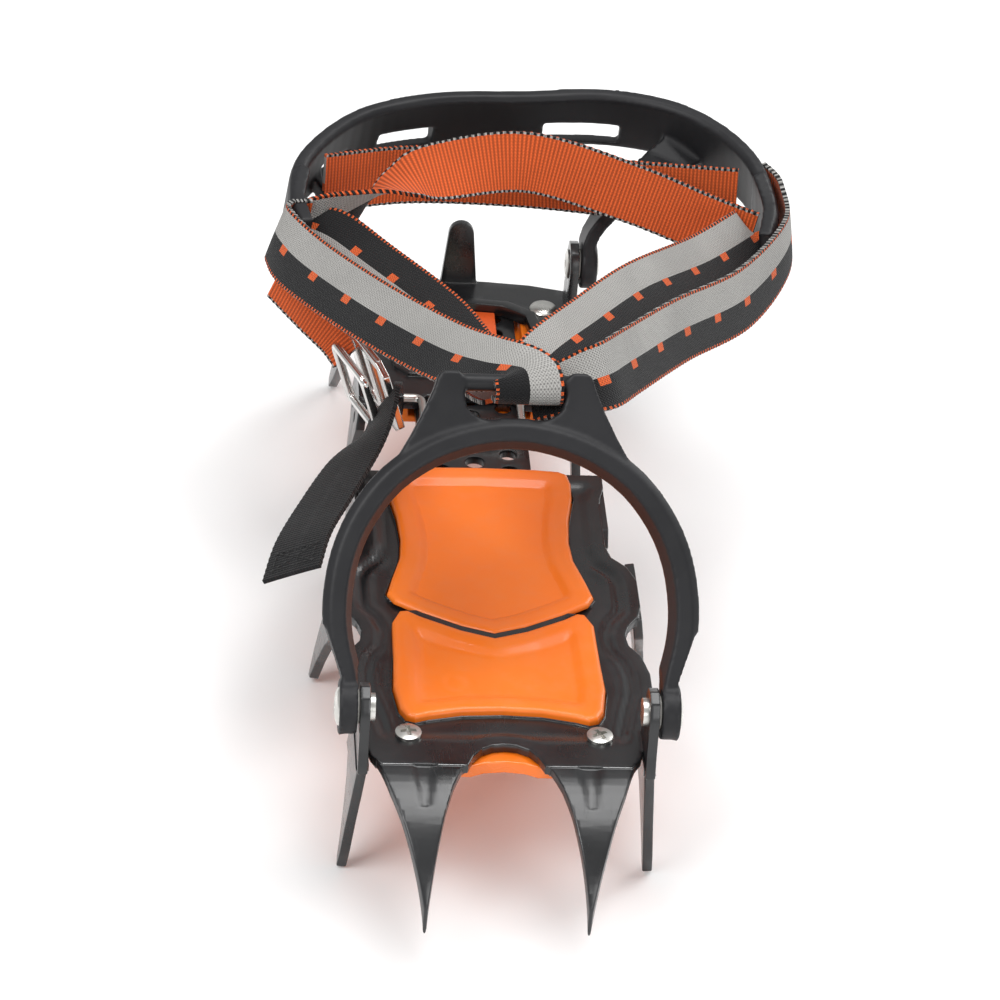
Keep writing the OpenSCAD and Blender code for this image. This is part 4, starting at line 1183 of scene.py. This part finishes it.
class CRAMPON_OT_fasteners(bpy.types.Operator):
    """Sets the screws, inserts, rivets, eyelets and washers"""

    bl_idname = "crampon.fasteners"
    bl_label = "Fasteners"

    def execute(self, context):
        up = [(0, 0, 1)] * 2
        fasteners(
            "screws", screw_shape(), [(x, y, 0.1) for x, y in SCREWS], up, "zinc", "front_frame",
            ["front_screws"], [0.5, 0.12])
        insert = turned("insert", [
            (2.05, 0), (2.75, 0), (2.85, 0.3), (2.85, 2.4), (2.65, 2.7), (2.65, 3.7), (2.85, 4), (2.85, 6.2),
            (2.75, 6.5), (2.05, 6.5), (2.05, 0)])
        fasteners(
            "inserts", insert, [(x, y, -12) for x, y in SCREWS], up, "brass", "front_frame",
            ["screw_inserts"])
        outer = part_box("toe_rivets")[1].x / MM
        sides = [(1, 0, 0), (-1, 0, 0)]
        rivet = turned("toe_rivet", [
            (0, -12), (4.2, -12), (4.2, -10.2), (2.5, -10.1), (2.5, -1.9), (5.6, -1.8), (5.75, -1.5),
            (5.5, -1.05), (4.7, -0.55), (3.5, -0.2), (2.1, -0.05), (1.8, -0.15), (1.6, -0.55), (0, -0.7)])
        fasteners(
            "toe_rivet_heads", rivet, either_side(outer, TOE_HINGE),
            sides, "zinc", "front_frame", ["toe_rivets"])
        outer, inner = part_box("heel_eyelets")[1].x / MM, 33.8
        eyelet = turned("eyelet", [
            (1.5, 0.1), (1.9, 0.25), (2.6, 0.3), (3.6, 0.05), (4.6, -0.5), (5.0, -1.0), (4.9, -1.3),
            (2.5, -1.3),
            (2.5, inner - outer + 1.2), (4.9, inner - outer + 1.1), (5, inner - outer + 0.6),
            (3.6, inner - outer + 0.1), (2.2, inner - outer), (1.5, inner - outer + 0.2), (1.5, 0.1)])
        fasteners(
            "eyelets", eyelet, either_side(outer, HEEL_HINGE), sides, "zinc",
            "heel_frame", ["heel_eyelets"])
        post = turned("plate_rivet", [
            (0, -10.6), (3.6, -10.6), (4, -10.3), (4, -9.2), (2.25, -9.1), (2.25, 0), (4.6, 0.05), (4.7, 0.3),
            (4.3, 0.85), (3.2, 1.35), (1.6, 1.6), (0, 1.68)])
        fasteners(
            "plate_rivets", post, [(28, HEEL_Y + 58, 0), (-28, HEEL_Y + 58, 0)], up, "zinc", "heel_frame",
            ["heel_plate_rivets"])
        ring = turned("washer", [
            (2.6, -0.3), (4.85, -0.3), (5, -0.15), (5, 0.15), (4.85, 0.3), (2.6, 0.3), (2.6, -0.3)])
        middle = (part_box("toe_washers")[1].x / MM) - 0.3
        fasteners(
            "toe_nylon", ring, either_side(middle, TOE_HINGE), sides, "nylon", "front_frame",
            ["toe_washers"])
        middle = (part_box("heel_washers")[1].x / MM) - 0.3
        fasteners(
            "heel_nylon", ring, either_side(middle, HEEL_HINGE), sides, "nylon",
            "heel_frame", ["heel_washers"])
        return {"FINISHED"}


def rounded_path(corners, radius, steps=8):
    """A closed or open path of corners in millimetres, with each inner corner rounded."""
    corners = [np.array(c, float) for c in corners]
    path = [corners[0]]
    for a, b, c in zip(corners, corners[1:], corners[2:]):
        u, v = (a - b) / np.linalg.norm(a - b), (c - b) / np.linalg.norm(c - b)
        for t in np.linspace(0, 1, steps):
            path.append((1 - t) ** 2 * (b + u * radius) + 2 * t * (1 - t) * b + t ** 2 * (b + v * radius))
    return path + [corners[-1]]


def wire(name, path, radius, finish, body, closed=False):
    """A piece of round wire along a path."""
    edges = [(i, i + 1) for i in range(len(path) - 1)]
    if closed:
        edges.append((len(path) - 1, 0))
    mesh = grown(name, points_mesh(name + "_path", path, edges), TREES["wire"], {
        "Radius": radius * MM, "Sides": 20, "Finish": FINISHES[finish]})
    return put(name, mesh, FINISHES[finish], body, 50)


class CRAMPON_OT_lock(bpy.types.Operator):
    """Builds the size plate and the spring wire that locks the length"""

    bl_idname = "crampon.lock"
    bl_label = "Length lock"

    def execute(self, context):
        work = cad_copy("lock_plate")
        soften(work, 0.25)
        finish_piece("size_plate", work, None, FINISHES["lock"], "heel_frame", ["lock_plate"])
        z = 1.4
        path = rounded_path([
            (-26.8, HEEL_Y, z), (-16, HEEL_Y, z), (-16, HEEL_Y - 16, z), (16, HEEL_Y - 16, z),
            (16, HEEL_Y, z),
            (26.8, HEEL_Y, z)], 3.2)
        loop = wire("lock_spring", path, 1.3, "zinc", "lock_wire")
        prongs = bmesh.new()
        for x in (-11, 11):
            bmesh.ops.create_cone(
                prongs, cap_ends=True, segments=20, radius1=1.1 * MM, radius2=1.3 * MM, depth=4.3 * MM,
                matrix=Matrix.Translation(Vector((x, HEEL_Y - 16, z - 2.2)) * MM))
        prong = put("lock_prongs", to_mesh("lock_prongs", prongs), FINISHES["zinc"], "lock_wire", 50)
        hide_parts("lock_wire")
        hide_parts("lock_wire")
        return {"FINISHED"}


def strap(name, rows, first, last, face, back, cad, upper=-1.0):
    """One stretch of a strand as woven webbing; rows is what route() gives."""
    place, side, out, along = rows
    part = slice(first, last + 1)
    points = points_mesh(
        name + "_route", place[part], (), side=side[part], out=out[part], along=along[part] * MM)
    s = sizes()
    mesh = grown(name, points, TREES["webbing"], {
        "Width": s.webbing_width, "Thickness": s.webbing_thickness, "Crown": 0.00014, "Columns": 13,
        "Selvage pitch": 0.0026, "Selvage depth": 0.011, "Upper side": upper, "Face": FINISHES[face],
        "Back": FINISHES[back]})
    piece = bpy.data.objects.new(name, mesh)
    bpy.context.scene.collection.objects.link(piece)
    mesh.shade_smooth()
    mesh.set_sharp_from_angle(angle=math.radians(50))
    if cad:
        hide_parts(cad)
    return piece


def tack(name, rows, at, reach, body):
    """A box of stitches with a cross, sewn through the strap at a share of its length."""
    place, side, out, along = rows
    i = int(np.argmin(np.abs(along - at)))
    forward = np.cross(out[i], side[i])
    lift = out[i] * 0.98
    corners = [(-1, -1), (1, -1), (1, 1), (-1, 1)]
    spots = [place[i] + forward * a * reach * 0.5 + side[i] * b * 7.0 + lift for a, b in corners]
    edges = [(0, 1), (1, 2), (2, 3), (3, 0), (0, 2), (1, 3)]
    mesh_points, mesh_edges = [], []
    for a, b in edges:
        mesh_edges.append((len(mesh_points), len(mesh_points) + 1))
        mesh_points += [spots[a], spots[b]]
    mesh = grown(name, points_mesh(name + "_lines", mesh_points, mesh_edges), TREES["stitches"], {
        "Pitch": 0.0021, "Stitch": 0.0017, "Thread": 0.0005, "Finish": FINISHES["thread"]})
    return put(name, mesh, FINISHES["thread"], body)


STRAND_JOINTS = [
    ("heel_harness", "heel_frame"), ("heel_frame", "bar"), ("bar", "front_frame"),
    ("front_frame", "toe_harness")]
STRAND_CUTS = [(200, 105.5), (105.5, 69.5), (69.5, 59.5), (59.5, -10)]
STRAND_BENDS = [(152, 106), (105, 70), (69, 60), (59, 20)]


class CRAMPON_OT_webbing(bpy.types.Operator):
    """Lays the straps through the yoke, the ears and the buckle"""

    bl_idname = "crampon.webbing"
    bl_label = "Webbing"

    def execute(self, context):
        # left_inner shows its black half on top as painted shade: a dark face put where its silver face lies
        # in shadow under left_outer.
        for name, rows, upper in (
            ("left_outer", LEFT_OUTER, -1.0), ("left_inner", LEFT_INNER, 1.0),
            ("right_inner", RIGHT_INNER, 1.0), ("right_outer", RIGHT_OUTER, 1.0),
        ):
            laid = route(rows, 0.65)
            y = laid[0][:, 1]
            start = 0
            for k, ((a, b), (bend_a, bend_b)) in enumerate(zip(STRAND_JOINTS, STRAND_BENDS)):
                low = STRAND_CUTS[k][1]
                past = np.nonzero(y[start:] < low)[0]
                end = len(y) - 1 if k == 3 or len(past) == 0 else start + int(past[0])
                piece = strap(
                    "strap_%s_%d" % (name, k + 1), laid, start, end, "two_tone", "coral", "strap_" + name,
                    upper)
                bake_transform(piece)
                start = end
        for name, rows, upper in (("ankle_front", ANKLE_FRONT, 1.0), ("ankle_rear", ANKLE_REAR, -1.0)):
            laid = route(rows, 0.65)
            piece = strap(
                "strap_" + name + "_band", laid, 0, len(laid[0]) - 1, "coral", "two_tone", "strap_" + name,
                upper)
            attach(piece, "heel_harness")
        laid = route(BUCKLE_LEAD, 0.65)
        piece = strap(
            "strap_lead_band", laid, 0, len(laid[0]) - 1, "coral", "two_tone", "strap_buckle_lead")
        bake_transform(piece)
        laid = route(TAIL, 0.65)
        piece = strap(
            "strap_tail_band", laid, 0, len(laid[0]) - 1, "tail", "tail", "strap_tail")
        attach(piece, "heel_frame")
        tack("tail_stitches", laid, laid[3][-1] - 7, 8, "heel_frame")
        return {"FINISHED"}


def buckle_point(x, y, z):
    """A point of the buckle, from its flat drawing to where it hangs, in millimetres."""
    turn = Matrix.Rotation(math.radians(22), 3, "Z") @ Matrix.Rotation(math.radians(72), 3, "Y")
    return Vector(BUCKLE_AT) + turn @ Vector((x, y, z))


class CRAMPON_OT_buckle(bpy.types.Operator):
    """Builds the two-piece buckle: a stamped frame and a wire ring"""

    bl_idname = "crampon.buckle"
    bl_label = "Buckle"

    def execute(self, context):
        work = cad_copy("buckle_frame")
        soften(work, 0.55, segments=3)
        finish_piece(
            "buckle_plate", work, None, FINISHES["buckle"], "heel_frame", ["buckle_frame"], smooth=40)
        half, bend, z = 11.5, 3.0, -5.5
        corners = [(-half, 0), (-half, half), (half, half), (half, -half), (-half, -half), (-half, 0)]
        path = rounded_path([(x, y, z) for x, y in corners], bend)[:-1]
        ring = wire(
            "buckle_wire", [tuple(buckle_point(*p)) for p in path], 1.4, "buckle", "buckle_ring",
            closed=True)
        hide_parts("buckle_ring")
        return {"FINISHED"}


class CRAMPON_OT_stage(bpy.types.Operator):
    """Sets the pale floor, the soft studio light and the camera"""

    bl_idname = "crampon.stage"
    bl_label = "Stage"

    def execute(self, context):
        scene = context.scene
        low = CAD_BOX[0]
        floor = bpy.data.meshes.new("floor")
        size = 12.0
        floor.from_pydata(
            [(-size, -size, 0), (size, -size, 0), (size, size, 0), (-size, size, 0)], [], [(0, 1, 2, 3)])
        floor.transform(Matrix.Translation((0, 0, low.z - 0.0005)))
        ground = bpy.data.objects.new("floor", floor)
        scene.collection.objects.link(ground)
        paper = bpy.data.materials.new("Pale paper")
        paper.use_nodes = True
        shader = paper.node_tree.nodes["Principled BSDF"]
        shader.inputs["Base Color"].default_value = (0.86, 0.86, 0.86, 1)
        shader.inputs["Roughness"].default_value = 0.75
        floor.materials.append(paper)
        world = bpy.data.worlds.new("Studio")
        world.use_nodes = True
        world.node_tree.nodes["Background"].inputs[0].default_value = (1, 1, 1, 1)
        world.node_tree.nodes["Background"].inputs[1].default_value = 0.5
        scene.world = world
        middle = Vector((0.0, 0.07, 0.02))
        for name, place, width, depth, power in (
            ("key", (-0.9, -0.6, 1.3), 0.9, 0.9, 15.0),
            ("top", (0.25, 0.2, 1.5), 1.0, 0.8, 13.0),
            ("rim", (1.1, 0.9, 0.8), 0.6, 0.9, 8.0),
            ("front", (0.5, -1.4, 0.5), 0.8, 0.5, 4.0),
        ):
            lamp = bpy.data.lights.new(name, "AREA")
            lamp.shape, lamp.size, lamp.size_y, lamp.energy = "RECTANGLE", width, depth, power
            lit = bpy.data.objects.new(name, lamp)
            scene.collection.objects.link(lit)
            lit.location = place
            lit.rotation_euler = (middle - Vector(place)).to_track_quat("-Z", "Y").to_euler()
        scene.view_settings.view_transform = "Standard"
        scene.view_settings.look = "None"
        azimuth, elevation, roll = (math.radians(v) for v in (-6.4, 34.8, 5.0))
        ahead = Vector((
            -math.sin(azimuth) * math.cos(elevation), math.cos(azimuth) * math.cos(elevation),
            -math.sin(elevation)))
        right = Vector((math.cos(azimuth), math.sin(azimuth), 0))
        above = right.cross(ahead)
        across = right * math.cos(roll) + above * math.sin(roll)
        above = above * math.cos(roll) - right * math.sin(roll)
        lens = bpy.data.cameras.new("camera")
        lens.lens, lens.sensor_width = 167.0, 36.0
        lens.clip_start, lens.clip_end = 0.05, 50.0
        camera = bpy.data.objects.new("camera", lens)
        scene.collection.objects.link(camera)
        target = Vector((0.006, 0.073, 0.002))
        turn = Matrix((across, above, -ahead)).transposed().to_4x4()
        camera.matrix_world = Matrix.Translation(target - ahead * 1.471) @ turn
        scene.camera = camera
        return {"FINISHED"}


STEPS = (
    CRAMPON_OT_finishes, CRAMPON_OT_steel, CRAMPON_OT_orange, CRAMPON_OT_harness, CRAMPON_OT_fasteners,
    CRAMPON_OT_lock, CRAMPON_OT_webbing, CRAMPON_OT_buckle, CRAMPON_OT_stage)


class CRAMPON_PT_build(bpy.types.Panel):
    """Lists the settings and the steps of the build"""

    bl_idname = "CRAMPON_PT_build"
    bl_label = "Crampon"
    bl_space_type = "VIEW_3D"
    bl_region_type = "UI"
    bl_category = "Crampon"

    def draw(self, context):
        layout = self.layout
        for group in (context.scene.crampon_sizes, context.scene.crampon_colours):
            column = layout.column(align=True)
            for name in group.__annotations__:
                column.prop(group, name)
        column = layout.column(align=True)
        for step in STEPS:
            column.operator(step.bl_idname)


CLASSES = (CramponSizes, CramponColours) + STEPS + (CRAMPON_PT_build,)


def register():
    for cls in CLASSES:
        bpy.utils.register_class(cls)
    bpy.types.Scene.crampon_sizes = bpy.props.PointerProperty(type=CramponSizes)
    bpy.types.Scene.crampon_colours = bpy.props.PointerProperty(type=CramponColours)


def unregister():
    del bpy.types.Scene.crampon_colours
    del bpy.types.Scene.crampon_sizes
    for cls in reversed(CLASSES):
        bpy.utils.unregister_class(cls)


def main():
    """Builds the whole crampon."""
    register()
    for step in STEPS:
        group, name = step.bl_idname.split(".")
        getattr(getattr(bpy.ops, group), name)()


if __name__ == "__main__":
    main()
